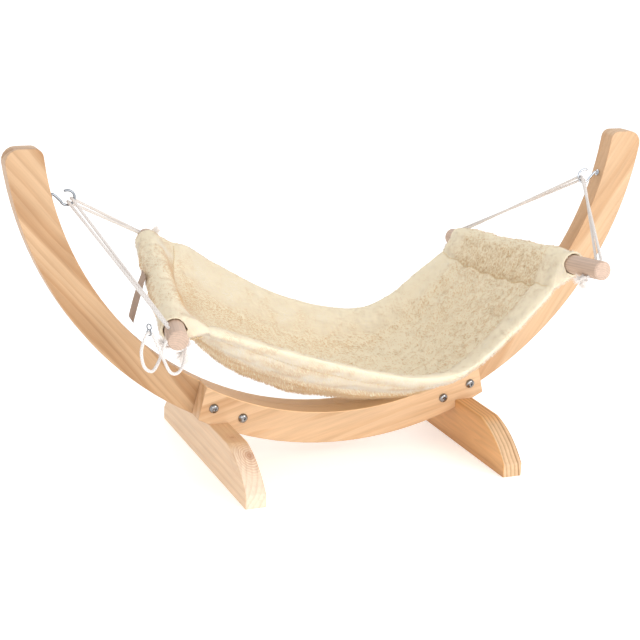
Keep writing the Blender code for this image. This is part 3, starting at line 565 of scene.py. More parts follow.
@shared_tree("ShaderNodeTree", "wood grain", {
    "Vector": "Vector", "Early Wood": "Color", "Late Wood": "Color", "Ring Width": 0.006,
    "Pith": "Vector", "Waviness": 0.004, "Line Strength": 0.6, "Thin Lines": 0.3, "Fibre": 0.10,
}, {"Colour": "Color", "Roughness": "Float", "Height": "Float"})
def grain_group(n, i):
    """Year rings about the local X axis, and fibres along it."""
    place = i["Vector"]
    wander = n.noise(place * (0.16, 1.0, 1.0), 22.0, 2.0, 0.5, "Color") - HALF
    across = (place - i["Pith"] + wander * i["Waviness"]) * (0.0, 1.0, 1.0)
    drift = n.noise(place * (0.12, 1.0, 1.0), 50.0, 1.0)
    phase = n.math("LENGTH", across) / i["Ring Width"] + drift * 0.45
    part = n.math("FRACT", phase)
    rise = part.remap(0.15, 0.86)
    year = n.add("ShaderNodeTexWhiteNoise", noise_dimensions="1D", W=n.math("FLOOR", phase))
    line = (rise * rise * part.remap(0.90, 1.0, 1.0, 0.0)
            * year.remap(0.0, 1.0, 0.45, 1.0, "LINEAR"))
    thin = n.math("FRACT", phase * 4.0)
    thin = thin.remap(0.2, 0.9) * thin.remap(0.92, 1.0, 1.0, 0.0)
    line = n.math("MULTIPLY", line + thin * i["Thin Lines"], i["Line Strength"], clamp=True)
    fibre = n.noise(place * (0.022, 1.0, 1.0), 1500.0, 3.0, 0.62)
    streak = n.noise(place * (0.05, 1.0, 1.0), 260.0, 3.0, 0.6)
    tone = n.noise(place * (0.35, 1.0, 1.0), 16.0, 2.0)
    light = ((fibre - 0.5) * i["Fibre"] + 1.0 + (streak - 0.5) * (i["Fibre"] * 1.6)
             + (tone - 0.5) * 0.16)
    return (n.mix(line, i["Early Wood"], i["Late Wood"]) * light,
            fibre.remap(0.3, 0.7, 0.40, 0.56, "LINEAR"), line * -0.5 + fibre * 0.6)


@shared_tree("ShaderNodeTree", "sawn arc", {"Vector": "Vector", "Radius": 0.3, "Centre": "Vector"},
             {"Mask": "Float"})
def arc_edge_group(n, i):
    """Mask of a board's curved sawn edge, near an arc in the XZ plane."""
    flat = (i["Vector"] - i["Centre"]) * (1.0, 0.0, 1.0)
    off = n.math("ABSOLUTE", n.math("LENGTH", flat) - i["Radius"])
    return (off.remap(0.0003, 0.0012, 1.0, 0.0),)


@shared_tree("ShaderNodeTree", "branch knot", {
    "Vector": "Vector", "Centre": "Vector", "Stretch": "Vector", "Radius": 0.006,
}, {"Mask": "Float", "Ring": "Float"})
def knot_group(n, i):
    """Mask of a branch knot, and of the dark rings round it."""
    uneven = (n.noise(i["Vector"], 260.0, 2.0, 0.5, "Color") - HALF) * 0.0016
    off = (i["Vector"] - i["Centre"]) / i["Stretch"] + uneven
    far = n.math("LENGTH", off) / i["Radius"]
    ring = n.math("FRACT", far * 3.0).remap(0.2, 0.9) * far.remap(0.6, 3.6, 1.0, 0.0)
    return far.remap(0.25, 1.0, 1.0, 0.0), ring


@shared_tree("ShaderNodeTree", "round braid", {
    "UV": "Vector", "Strands": float(BRAID_STRANDS), "Pitch": BRAID_PITCH,
}, {"Height": "Float", "Groove": "Float", "Fibre": "Float"})
def braid_group(n, i):
    """Plaits of a round braid, from a UV that runs round it and in metres along it."""
    x, y, _ = n.split(i["UV"])
    turn, run = x * i["Strands"], y / i["Pitch"]
    waves = [n.math("SINE", angle * (2 * math.pi)) * 0.5 + 0.5
             for angle in (turn + run, turn - run)]
    height = n.math("MAXIMUM", *waves)
    return (height, height.remap(0.45, 0.80, 1.0, 0.0),
            n.noise(i["UV"] * (9.0, 900.0, 1.0), 1.0, 3.0, 0.6))


@shared_tree("ShaderNodeTree", "rubbed metal", {"Vector": "Vector", "Bright": 0.1, "Dull": 0.3},
             {"Roughness": "Float", "Height": "Float", "Patch": "Float"})
def rubbed_group(n, i):
    """Fine scratches and dull patches of handled metal."""
    patch = n.noise(i["Vector"], 420.0, 3.0, 0.6)
    scratch = n.noise(i["Vector"] * (0.08, 1.0, 1.0), 5200.0, 2.0, 0.6)
    spread = patch * 0.7 + scratch * 0.3
    return spread.remap(0.3, 0.7, i["Bright"], i["Dull"], "LINEAR"), scratch, patch


@shared_tree("ShaderNodeTree", "plush mottle", {"Vector": "Vector"},
             {"Clump": "Float", "Stroke": "Float", "Cloud": "Float"})
def mottle_group(n, i):
    """Clumps, combed strokes and wide clouds of short plush."""
    place = i["Vector"]
    return (n.noise(place, 130.0, 3.0, 0.6, distortion=0.6),
            n.noise(place * (1.0, 0.9, 0.32), 620.0, 3.0, 0.6), n.noise(place, 42.0, 2.0, 0.5))


# Materials

def scaled(colour, *shares):
    return tuple(c * k for c, k in zip(colour, shares))


def group(n, tree, **values):
    return n.node("ShaderNodeGroup", node_tree=tree(), **values)


def pine_board(name, turn, pith, width, strength, thin, waviness, warm=0.0, tone=1.0, dark=1.0,
               foot=None, knots=()):
    """Lacquered pine with its grain turned by degrees; foot says X, the strength of painted shade
    on the top, and the colour gain of painted light on the slopes.
    """
    wood = bpy.context.scene.lounger_wood
    m = Paint(name, Coat_Weight=0.10, Coat_Roughness=0.3, Specular_IOR_Level=0.3)
    local = m.add("ShaderNodeMapping", Vector=m.place, Rotation=[math.radians(a) for a in turn])
    early = [c * tone * (1 + warm * k) for c, k in zip(wood.early, (0.0, -0.25, -0.6))]
    late = [c * tone * dark * (1 + warm * k) for c, k in zip(wood.late, (0.0, -0.2, -0.5))]
    grain = group(m, grain_group, Vector=local, Early_Wood=early, Late_Wood=late,
                  Ring_Width=wood.ring_width * width, Pith=pith, Waviness=waviness,
                  Line_Strength=strength, Thin_Lines=thin, Fibre=0.24)
    colour = grain["Colour"]
    x, _, z = m.split(m.place)
    if foot:
        middle, top, slope_light = foot
        # Painted shade: the top of a foot, which the crescent above shades, is mixed towards dark
        # brown
        colour = m.mix(z.remap(*FOOT_TOP, 0.0, top), colour, (0.72, 0.43, 0.22))
        # Painted light: below the top, the slopes and ends inside the foot's sides are painted
        # paler than the sides by a colour gain, as they face the light
        side = m.math("ABSOLUTE", x - middle)
        end = (side.remap(FOOT_HALF - 0.0012, FOOT_HALF - 0.0003, 1.0, 0.0)
               * z.remap(*FOOT_SLOPE, 1.0, 0.0))
        colour = m.mix(end, colour, colour * slope_light)
        for centre, stretch, radius in knots:
            mark = group(m, knot_group, Vector=m.place, Centre=centre, Stretch=stretch,
                         Radius=radius)
            colour = m.mix(mark["Ring"] * 0.60, colour, (0.56, 0.25, 0.14))
            colour = m.mix(mark["Mask"] * 0.55, colour, (0.42, 0.18, 0.10))
    else:
        inner, outer = (group(m, arc_edge_group, Vector=m.place, Radius=radius,
                              Centre=(0.0, 0.0, height))["Mask"]
                        for radius, height in (INNER_ARC, OUTER_ARC))
        # Painted light: on the middle of the brace, where the mask on the next line is high, the
        # inner arc that the sling shades is painted a bright warm colour
        low = m.math("ABSOLUTE", x).remap(0.13, 0.22, 1.0, 0.0)
        colour = m.mix(inner * 0.30, colour, wood.edge)
        colour = m.mix(inner * low * 0.8, colour, (1.0, 0.68, 0.38))
        colour = m.mix(outer * 0.75, colour, scaled(wood.edge, 0.95, 1.12, 1.35))
    m.set(Base_Color=colour, Roughness=grain["Roughness"])
    m.bump(grain["Height"], 0.35, 0.00025)
    return m.material


def dowel_wood(name, turn, pith):
    wood = bpy.context.scene.lounger_wood
    m = Paint(name)
    local = m.add("ShaderNodeMapping", Vector=m.place, Rotation=turn)
    grain = group(m, grain_group, Vector=local, Early_Wood=wood.dowel,
                  Late_Wood=scaled(wood.dowel, 0.72, 0.72, 0.72), Ring_Width=0.0022, Pith=pith,
                  Waviness=0.003, Line_Strength=0.6, Thin_Lines=0.2, Fibre=0.30)
    m.set(Base_Color=grain["Colour"], Roughness=grain["Roughness"] + 0.12)
    m.bump(grain["Height"], 0.5, 0.0003)
    return m.material


@once
def metal(name, colour, bright, dull):
    m = Paint(name, Metallic=1.0)
    rubbed = group(m, rubbed_group, Vector=m.place, Bright=bright, Dull=dull)
    m.set(Base_Color=m.mix(rubbed["Patch"], scaled(colour, 0.88, 0.88, 0.88), colour),
          Roughness=rubbed["Roughness"])
    m.bump(rubbed["Height"], 0.15, 0.00005)
    return m.material


@once
def cotton(name, loose=False):
    pale = tuple(bpy.context.scene.lounger_cord.colour)
    m = Paint(name, Roughness=0.9, Sheen_Weight=0.25, Sheen_Roughness=0.5,
              Specular_IOR_Level=0.2)
    if loose:
        grain = m.noise(m.place, 900.0, 3.0, 0.6).remap(0.3, 0.7)
        m.set(Base_Color=m.mix(grain, [min(0.97, c * 1.12) for c in pale], pale))
        return m.material
    dark = scaled(pale, 0.66, 0.60, 0.58)
    braid = group(m, braid_group, UV=m.add("ShaderNodeUVMap", uv_map="along"))
    # Painted shade: the grooves between the plaits are mixed towards dark; below, the same dark is
    # used for soil
    colour = m.mix(braid["Groove"] * 0.45, pale, dark)
    soil = m.noise(m.place, 90.0, 2.0).remap(0.45, 0.75, 0.0, 0.25)
    m.set(Base_Color=m.mix(soil, colour, dark))
    m.bump(braid["Height"] + braid["Fibre"] * 0.35, 0.6, 0.0004)
    return m.material


@once
def plush(name, tuft=False):
    """Ivory plush, with painted shade in its hollows, inside its borders, more towards its right
    side, and at the roots of its tufts.
    """
    sling = bpy.context.scene.lounger_sling
    m = Paint(name, Roughness=0.95, Sheen_Weight=0.12, Sheen_Roughness=0.5,
              Specular_IOR_Level=0.1)
    mottle = group(m, mottle_group, Vector=m.place)
    pale, deep = tuple(sling.ivory), tuple(sling.shade)
    warm = [0.35 * a + 0.65 * b for a, b in zip(pale, deep)]
    # Painted shade: the factor on the next line deepens the inside of the cloth more towards +X,
    # where it lies in shade, and less towards -X
    side_shade = m.split(m.place)[0].remap(-0.16, 0.14, 0.75, 1.30)
    # Painted shade: inside its plump border the cloth is mixed towards the shade colour, while the
    # border stays pale where it catches the light
    inner = m.attribute("inset").remap(BORDER - 0.006, BORDER + 0.012, 0.0, 0.86) * side_shade
    # Painted shade: hollows of the cloth's relief are mixed towards the shade colour, more so
    # inside the border
    hollow = m.attribute("relief").remap(-0.9, 0.9, 0.85, 0.0) * (inner * 1.1 + 0.35)
    base = m.mix(mottle["Cloud"].remap(0.42, 0.66) * 0.80, pale, warm)
    base = m.mix(hollow, m.mix(inner, base, deep), deep)
    if tuft:
        # Painted shade: the lower part of each tuft, towards its root, is mixed towards the shade
        # colour
        base = m.mix(m.attribute("tip").remap(0.0, 0.8), m.mix(0.88, deep, base), base)
    else:
        m.bump(mottle["Clump"] + mottle["Stroke"] * 0.3, 0.5, 0.0005)
    m.set(Base_Color=m.mix(mottle["Clump"].remap(0.42, 0.70, 0.0, 0.12), base, deep))
    return m.material


def ribbon():
    m = Paint("woven ribbon", Roughness=0.8)
    x, y, _ = m.split(m.add("ShaderNodeUVMap", uv_map="weave"))
    threads = [m.math("SINE", run * count) * 0.5 + 0.5 for run, count in ((x, 5200.0), (y, 7000.0))]
    weave = m.math("MAXIMUM", *threads)
    colour = m.mix(weave, (0.33, 0.22, 0.16), (0.47, 0.34, 0.26))
    worn = m.noise(m.place, 120.0, 2.0).remap(0.3, 0.7, 0.0, 0.4)
    m.set(Base_Color=m.mix(worn, colour, (0.52, 0.40, 0.32)))
    m.bump(weave, 0.6, 0.0003)
    return m.material


# Fibres, tufts and stitches

def tuft_mesh(name, width, bend=0.25):
    """A flattened three-sided blade, one unit long, open at its root, its ridge to +Y."""
    angles = [2 * math.pi * k / 3 + math.pi / 2 for k in range(3)]
    points = [(width * math.cos(a), 0.35 * width * math.sin(a), 0.0) for a in angles]
    mesh = bpy.data.meshes.new(name)
    mesh.from_pydata([*points, (bend, 0.0, 1.0)], [], [(0, 1, 3), (1, 2, 3), (2, 0, 3)])
    tip = mesh.attributes.new("tip", "FLOAT", "POINT")
    tip.data.foreach_set("value", [0.0, 0.0, 0.0, 1.0])
    return link(name, mesh)


@shared_tree("GeometryNodeTree", "plush tufts", {
    "Geometry": "Geometry", "Tuft": "Object", "Density": 1e5, "Length": 0.003,
    "Lean": (0.0, 0.0, 0.0), "Spread": 0.5, "Clump Size": 90.0, "Seed": 1, "Material": "Material",
}, {"Geometry": "Geometry"})
def tuft_tree(n, i):
    """Tufts set on a surface that lean along a combed direction, their flat side out."""
    spread = n.node("GeometryNodeDistributePointsOnFaces", Mesh=i["Geometry"],
                    Density=i["Density"], Seed=i["Seed"])
    points = n.add("GeometryNodeStoreNamedAttribute", data_type="FLOAT_VECTOR", domain="POINT",
                   Geometry=spread["Points"], Name="surface", Value=spread["Normal"])
    place = n.add("GeometryNodeInputPosition")
    clump = (n.noise(place, i["Clump Size"], 2.0, 0.5, "Color") - HALF) * 2.2
    wild = n.add("FunctionNodeRandomValue", data_type="FLOAT_VECTOR", Min=(-1, -1, -1),
                 Max=(1, 1, 1), Seed=i["Seed"])
    aim = spread["Normal"] + i["Lean"] + (wild + clump) * i["Spread"]
    turn = n.add("FunctionNodeRandomValue", data_type="FLOAT", Min=0.0, Max=2 * math.pi)
    spin = n.add("FunctionNodeAxisAngleToRotation", Angle=turn)
    lean = n.add("FunctionNodeAlignRotationToVector", axis="Z", Rotation=spin, Vector=aim)
    flat = n.add("FunctionNodeAlignRotationToVector", axis="Y", pivot_axis="Z", Rotation=lean,
                 Vector=spread["Normal"])
    size = n.add("FunctionNodeRandomValue", data_type="FLOAT", Min=0.65, Max=1.15)
    tufts = n.add("GeometryNodeInstanceOnPoints", Points=points, Rotation=flat,
                  Instance=n.node("GeometryNodeObjectInfo", Object=i["Tuft"])["Geometry"],
                  Scale=size * i["Length"])
    return (n.painted(tufts, i["Material"]),)


@shared_tree("GeometryNodeTree", "seam stitches", {
    "Geometry": "Geometry", "Stitch": "Object", "Spacing": STITCH_SPACING, "Size": STITCH_SIZE,
    "Material": "Material",
}, {"Geometry": "Geometry"})
def stitch_tree(n, i):
    """Stitches laid end to end along lines, flat on the cloth."""
    curve = n.add("GeometryNodeMeshToCurve", Mesh=i["Geometry"])
    points = n.add("GeometryNodeResampleCurve", mode="LENGTH", Curve=curve, Length=i["Spacing"])
    up = n.add("GeometryNodeInputNamedAttribute", data_type="FLOAT_VECTOR", Name="up")
    flat = n.add("FunctionNodeAlignRotationToVector", axis="Z", Vector=up)
    along = n.add("FunctionNodeAlignRotationToVector", axis="X", pivot_axis="Z", Rotation=flat,
                  Vector=n.add("GeometryNodeInputTangent"))
    stitches = n.add("GeometryNodeInstanceOnPoints", Points=points, Rotation=along,
                     Instance=n.node("GeometryNodeObjectInfo", Object=i["Stitch"])["Geometry"],
                     Scale=i["Size"])
    return (n.painted(stitches, i["Material"]),)


def grow(name, base, tree, follow=0.0, **values):
    """Run a Geometry Nodes tree on a base, and keep the result as a plain mesh in its place."""
    modifier = base.modifiers.new(name, "NODES")
    modifier.node_group = tree()
    for socket in modifier.node_group.interface.items_tree:
        if socket.in_out == "INPUT" and socket.name in values:
            modifier[socket.identifier] = values[socket.name]
    depsgraph = bpy.context.evaluated_depsgraph_get()
    depsgraph.update()
    mesh = bpy.data.meshes.new_from_object(base.evaluated_get(depsgraph), depsgraph=depsgraph)
    bpy.data.objects.remove(base, do_unlink=True)
    mesh.name = name
    if follow:
        follow_normals(mesh, follow)
    if "surface" in mesh.attributes:
        mesh.attributes.remove(mesh.attributes["surface"])
    return link(name, mesh)


def follow_normals(mesh, amount):
    """Turn the normals of tufts towards the surface that they grow from."""
    own, surface = np.empty((2, len(mesh.vertices) * 3), dtype=np.float32)
    mesh.attributes["surface"].data.foreach_get("vector", surface)
    mesh.vertices.foreach_get("normal", own)
    normals = own.reshape(-1, 3) * (1 - amount) + surface.reshape(-1, 3) * amount
    normals /= np.maximum(np.linalg.norm(normals, axis=1, keepdims=True), 1e-6)
    mesh.shade_smooth()
    mesh.normals_split_custom_set_from_vertices(normals.tolist())


def tuft_atlas(mesh):
    """UV map for baking, with one small cell for each three-sided blade."""
    pattern = np.array([(0.1, 0.1), (0.4, 0.1), (0.25, 0.9), (0.4, 0.1), (0.7, 0.1), (0.55, 0.9),
                        (0.7, 0.1), (0.9, 0.1), (0.8, 0.9)])
    cell = np.arange(len(mesh.loops) // len(pattern))
    side = math.ceil(math.sqrt(len(cell)))
    origin = np.stack((cell % side, cell // side), axis=1) / side
    uv = (origin[:, None, :] + (pattern / side)[None, :, :]).reshape(-1, 2)
    layer = mesh.uv_layers.new(name="OFBake")
    layer.data.foreach_set("uv", uv.astype(np.float32).ravel())


# Dowels and cords

def dowel_axis(side):
    near, far = DOWELS[side]
    return (far - near).normalized()


def dowel_place(side, distance, from_far=False):
    near, far = DOWELS[side]
    return far - dowel_axis(side) * distance if from_far else near + dowel_axis(side) * distance


def pull_direction(side, from_far):
    axis = dowel_axis(side)
    to_hook = HOOK_CENTRES[side] - DOWELS[side][from_far]
    return (to_hook - to_hook.dot(axis) * axis).normalized()


def curl_point(side, radius, angle):
    offset = Vector((side * radius * math.cos(angle), 0.0, radius * math.sin(angle)))
    return HOOK_CENTRES[side] + offset


def cord_end(side, distance, from_far, along, radius):
    """Places of a cord from its knot through a hole of the dowel and out of it."""
    middle = dowel_place(side, distance, from_far)
    pull = pull_direction(side, from_far)
    mouth = middle + pull * (DOWEL_RADIUS + 0.75 * radius)
    return [middle - pull * (DOWEL_RADIUS + 0.5 * radius), middle, mouth,
            mouth + (pull * 1.1 + along * 0.75) * radius,
            mouth + (pull * 2.1 + along * 2.4) * radius]


def cord_bed(side, number, radius):
    """Places of a cord over its hook, beside the other cord."""
    reach = HOOK_WIRE + radius + CORD_PLAY
    spread = math.asin((radius + CORD_PLAY) / (HOOK_CURL - reach))
    angle = math.radians(225) + (2 * number - 1) * spread
    route = []
    for turn in (32, 16, 0, -16, -32):
        turn = math.radians(turn)
        place = curl_point(side, HOOK_CURL - reach * math.cos(turn), angle)
        route.append(place + Vector((0.0, (reach + CORD_SWAY_ROOM) * math.sin(turn), 0.0)))
    return route


def cord_route(side, number, radius):
    """Fine route of a cord from a far hole over its hook to a near hole, corners rounded."""
    near_hole = number if side > 0 else 1 - number
    axis = dowel_axis(side)
    far_end = cord_end(side, FAR_HOLES[1 - near_hole], True, -axis, radius)
    near_end = cord_end(side, NEAR_HOLES[near_hole], False, axis, radius)
    places = [*far_end, *cord_bed(side, number, radius), *reversed(near_end)]
    route = []
    for a, b in zip(places, places[1:]):
        steps = max(1, round((b - a).length / CORD_STEP))
        route += [a.lerp(b, k / steps) for k in range(steps)]
    route.append(places[-1])
    for _ in range(3):
        inside = [(a + 2 * b + c) / 4 for a, b, c in zip(route, route[1:], route[2:])]
        route = [route[0], *inside, route[-1]]
    return route


def plait(distance, share):
    """Relief of the braid at a distance along it and a share of the way round."""
    turn, run = BRAID_STRANDS * share, distance / BRAID_PITCH
    waves = [math.sin(2 * math.pi * angle) for angle in (turn + run, turn - run)]
    return BRAID_DEPTH * (max(waves) - 0.7)


def cord_piece(name, route, radius, sides, *nodes):
    piece = sweep(name, route, radius, sides, plait)
    return dress(piece, cotton("braided cotton"), "sling", "cotton_cord", *nodes)


class LOUNGER_OT_cords(bpy.types.Operator):
    """Four braided cords, each from a far hole over its hook to a near hole"""
    bl_idname = "lounger.cords"
    bl_label = "Suspension cords"

    def execute(self, context):
        radius = context.scene.lounger_cord.diameter / 2
        for label, side in SIDES.items():
            for number in range(2):
                cord_piece(f"{label}_braided_cord_{number + 1}", cord_route(side, number, radius),
                           radius * CORD_CORE, 16, f"{label}_cord_{number + 1}")
        return {"FINISHED"}


def knot_frame(side, from_far, radius):
    pull = pull_direction(side, from_far)
    middle = dowel_place(side, sum(FAR_HOLES if from_far else NEAR_HOLES) / 2, from_far)
    centre = middle - pull * (DOWEL_RADIUS + 0.5 * radius + 0.0003 + KNOT_SIZE.z)
    return frame_along(pull, centre, pull.cross(dowel_axis(side)))


def tail_places(radius):
    """Route of the tail: it leaves the knot's surface and then follows its own points."""
    places = [DOWELS[-1][0] + Vector(offset) for offset in TAIL_ROUTE]
    matrix = knot_frame(-1, False, radius)
    toward = (matrix.to_3x3().inverted() @ (places[0] - matrix.translation)).normalized()
    reach = 1 / math.sqrt(sum((toward[k] / KNOT_SIZE[k]) ** 2 for k in range(3))) + 0.00045
    start = matrix @ (toward * reach)
    return [start, start.lerp(places[0], 0.4), *places]


class LOUNGER_OT_tail(bpy.types.Operator):
    """Loose tail of cord with its small wire ring"""
    bl_idname = "lounger.tail"
    bl_label = "Loose tail"

    def execute(self, context):
        diameter = context.scene.lounger_cord.diameter
        route = smooth_route(tail_places(diameter / 2), CORD_STEP)
        piece = cord_piece("braided_tail", route, diameter / 2 * CORD_CORE, 16, "tail_cord")
        ring = bpy.data.objects["adjuster_ring"]
        steel = tuple(context.scene.lounger_metal.steel)
        paint(ring, metal("plated wire", steel, 0.16, 0.34))
        path = route[::4] + [route[-1]]
        round(route_length(route), 4)
        return {"FINISHED"}


def frayed_end(stub, fluff, route, radius, seed, size):
    """A short cord end along a route, and the loose fibres that spread from its tip."""
    cord_piece(stub, smooth_route(route, CORD_STEP), radius * END_CORE, 14)
    direction = (route[-1] - route[-2]).normalized()
    tip = route[-1] - direction * 0.0015
    profile = [(0.0, 0.0), (radius * 0.9, -0.0002), (radius * 0.9, -0.0025)]
    matrix = frame_along(direction, tip, direction.orthogonal())
    base = mesh_piece(fluff + "_base", *lathe(profile, matrix, 12))
    merge(base)
    blade = tuft_mesh(fluff + "_fibre", 0.060, 0.50)
    area = sum(face.area for face in base.data.polygons)
    loose = cotton("loose cotton fibres", True)
    lean = tuple(direction * 1.8 + Vector((0, 0, -0.4)))
    piece = grow(fluff, base, tuft_tree, Tuft=blade, Density=FRAY_FIBRES / area,
                 Length=FRAY_LENGTH * size, Lean=lean, Spread=FRAY_SPREAD, Seed=seed,
                 Material=loose)
    bpy.data.objects.remove(blade, do_unlink=True)
    piece.visible_shadow = False
    dress(piece, loose, "sling", "cotton_cord")


class LOUNGER_OT_knots(bpy.types.Operator):
    """Tied knots under the dowel ends, with frayed ends"""
    bl_idname = "lounger.knots"
    bl_label = "Knots"

    def execute(self, context):
        radius = context.scene.lounger_cord.diameter / 2
        for place, hang in KNOT_HANG.items():
            self.knot(place, hang, radius)
        near, _ = DOWELS[-1]
        axis = dowel_axis(-1)
        knot = knot_frame(-1, False, radius).translation
        top = dowel_place(-1, FAR_HOLES[1] + 0.009, True)
        spare = {"left_near": (0.9, [knot,
                                     near + axis * 0.014 + Vector((-0.0095, 0.0, -0.0105)),
                                     near + axis * 0.010 + Vector((-0.0150, 0.0, -0.0040))]),
                 "left_far": (0.7, [top + Vector((0.0, 0.0, 0.0085)),
                                    top + Vector((0.003, -0.001, 0.0130)),
                                    top + Vector((0.008, -0.003, 0.0142))])}
        for place, (size, route) in spare.items():
            frayed_end(f"{place}_spare_end", f"{place}_spare_fray", route, radius, 31, size)
        return {"FINISHED"}

    def knot(self, place, hang, radius):
        """A trefoil under one end of a dowel, with its hanging cord ends."""
        label, end = place.split("_")
        from_far = end == "far"
        matrix = knot_frame(SIDES[label], from_far, radius)
        reach = KNOT_SIZE - Vector((radius * 0.8, radius * 0.8, radius))
        lump = []
        for k in range(96):
            t = 2 * math.pi * k / 96
            lump.append(matrix @ Vector(((math.sin(t) + 2 * math.sin(2 * t)) / 3 * reach.x,
                                         (math.cos(t) - 2 * math.cos(2 * t)) / 3 * reach.y,
                                         -math.sin(3 * t) * reach.z)))
        lump.append(lump[0].lerp(lump[1], 0.5))
        cord_piece(f"{place}_tied_knot", lump, radius, 14, f"{place}_knot")
        across = matrix.to_3x3().col[0]
        outward = matrix.to_3x3().col[1] * (1 if from_far else -1)
        start = matrix.translation
        spreads = (1,) if place == "left_near" else (-1, 1)
        for number, spread in enumerate(spreads, 1):
            middle = start + (outward * 0.2 + across * 0.15 * spread) * 0.012
            tip = start + (outward * 0.4 + across * 0.3 * spread) * 0.012
            middle.z -= 0.4 * hang
            tip.z -= hang * (1.0 - 0.15 * spread) - 0.002
            frayed_end(f"{place}_knot_end_{number}", f"{place}_frayed_end_{number}",
                       [start, middle, tip], radius, 10 + number, 0.4 + 45 * hang)


# Hardware and wood

class LOUNGER_OT_bolts(bpy.types.Operator):
    """Domed bolts through brace and arms, with their washers, nuts and the foot screws"""
    bl_idname = "lounger.bolts"
    bl_label = "Bolts, nuts and screws"

    def execute(self, context):
        metals = context.scene.lounger_metal
        chrome = metal("plated bolt", tuple(metals.chrome), 0.05, 0.16)
        zinc = metal("zinc plate", tuple(metals.steel), 0.25, 0.45)
        kinds = {"brace_bolt": (chrome, 4), "bolt_washer": (zinc, 4), "bolt_nut": (zinc, 4),
                 "left_foot_screw": (zinc, 2), "right_foot_screw": (zinc, 2)}
        for node, (plate, count) in kinds.items():
            for number in range(1, count + 1):
                paint(bpy.data.objects[f"{node}_{number}"], plate)
        return {"FINISHED"}


class LOUNGER_OT_hooks(bpy.types.Operator):
    """Open wire hooks with a round collar at the arm"""
    bl_idname = "lounger.hooks"
    bl_label = "Hooks"

    def execute(self, context):
        steel = tuple(context.scene.lounger_metal.steel)
        # Painted light: the right hook gets a copy of the same steel made 1.9 times brighter, where
        # light falls on it
        bright = tuple(min(1.0, c * 1.9) for c in steel)
        steels = {"left": metal("plated wire", steel, 0.16, 0.34),
                  "right": metal("bright wire", bright, 0.12, 0.28)}
        radius, thick = HOOK_COLLAR
        profile = [(0.0, thick), (radius * 0.6, thick), (radius * 0.85, thick * 0.85),
                   (radius, thick * 0.45), (radius, 0.0), (0.0, 0.0)]
        for label, side in SIDES.items():
            root = HOOK_ROOTS[side]
            outward = (Vector((0.0, root.y, INNER_ARC[1])) - root).normalized()
            shank = [root - outward * 0.016, root, root + outward * 0.0035]
            curl = [curl_point(side, HOOK_CURL, math.radians(-22 - k * 19)) for k in range(15)]
            hook = sweep(f"{label}_wire_hook", smooth_route([*shank, *curl], 0.0007), HOOK_WIRE, 20)
            dress(hook, steels[label], "stand", "hook_steel", f"{label}_hook")
            matrix = frame_along(outward, root + outward * 0.0006, Vector((0, 1, 0)))
            collar = mesh_piece(f"{label}_hook_collar", *lathe(profile, matrix))
            collar.data.set_sharp_from_angle(angle=math.radians(40))
            dress(collar, steels[label], "stand", "hook_steel")
        return {"FINISHED"}


# Boards: turn in degrees, pith, ring width, strength, thin lines, waviness, and what differs
BOARDS = {
    # Painted shade: a tone below 1 paints the left arm darker than the right arm, as it lies
    # farther from the light
    "left_arm": ("pine left arm", (0, -50, 0), (0.0, 0.140, 0.02), 1.25, 0.72, 0.42, 0.003,
                 {"warm": 0.10, "tone": 0.92, "dark": 0.94}),
    "right_arm": ("pine right arm", (0, 56, 0), (0.0, 0.150, -0.03), 1.7, 0.60, 0.30, 0.003, {}),
    "centre_brace": ("pine brace", (0, 14, 0), (0.0, 0.110, 0.05), 0.75, 0.60, 0.45, 0.003,
                     {"tone": 1.04}),
    # foot: X of its middle, strength of the painted shade on the top, colour gain of the painted
    # light on the slopes
    "left_foot": ("pine left foot", (0, 0, 90), (0.0, -0.30, 0.10), 0.30, 0.30, 0.2, 0.006,
                  {"warm": -0.35, "tone": 1.17, "foot": (-FOOT_X, 0.55, (1.08, 1.20, 1.40)),
                   "knots": (((-0.1400, -0.1020, 0.0436), (0.9, 1.2, 1.5), 0.0078),
                             ((-0.1455, -0.065, 0.0512), (1.0, 1.2, 1.0), 0.0042))}),
    # Painted light: a tone above 1 paints the right foot brighter, lifting its side that lies in
    # shade
    "right_foot": ("pine right foot", (0, 0, 90), (0.0, 0.32, 0.03), 0.25, 1.0, 0.15, 0.004,
                   {"warm": 0.70, "tone": 1.13, "dark": 0.72,
                    "foot": (FOOT_X, 0.20, (0.98, 1.20, 1.70))}),
}


class LOUNGER_OT_wood(bpy.types.Operator):
    """Pine for the crescent and the feet, and plain wood for the dowels"""
    bl_idname = "lounger.wood"
    bl_label = "Wood"

    def execute(self, context):
        for node, (*values, more) in BOARDS.items():
            paint(bpy.data.objects[node], pine_board(*values, **more))
        for label, side in SIDES.items():
            turn = dowel_axis(side).to_track_quat("X", "Z").inverted().to_euler()
            middle = turn.to_matrix() @ DOWELS[side][0]
            paint(bpy.data.objects[f"{label}_dowel"],
                  dowel_wood(f"{label} dowel wood", turn,
                             (0.0, middle.y + 0.004, middle.z - 0.012)))
        return {"FINISHED"}


# Sling

def clamp(x, low=0.0, high=1.0):
    return max(low, min(high, x))


def ease(x):
    x = clamp(x)
    return x * x * (3 - 2 * x)


def draw_in(distance, draw):
    """How deep a line of sewing draws the cloth in, at a distance from it."""
    height, width = draw
    return height * math.exp(-(distance / width) ** 2)


def at_share(line, share):
    position = clamp(share) * (len(line) - 1)
    k = min(int(position), len(line) - 2)
    return line[k].lerp(line[k + 1], position - k)


def sheet_lines():
    """Rims and middle line as fine chains, tunnel centre to tunnel centre."""
    left = [dowel_place(-1, distance) for distance in LEFT_TUNNEL]
    right = [dowel_place(1, distance) for distance in RIGHT_TUNNEL]
    lines = []
    for across, inner in ((0.0, NEAR_RIM), (0.5, MIDDLE_LINE), (1.0, FAR_RIM)):
        start, end = left[0].lerp(left[1], across), right[0].lerp(right[1], across)
        places = [start.lerp(end, share) + Vector((0.0, back, -drop))
                  for share, drop, back in inner]
        lines.append(smooth_route([start, *places, end], 0.004))
    return lines


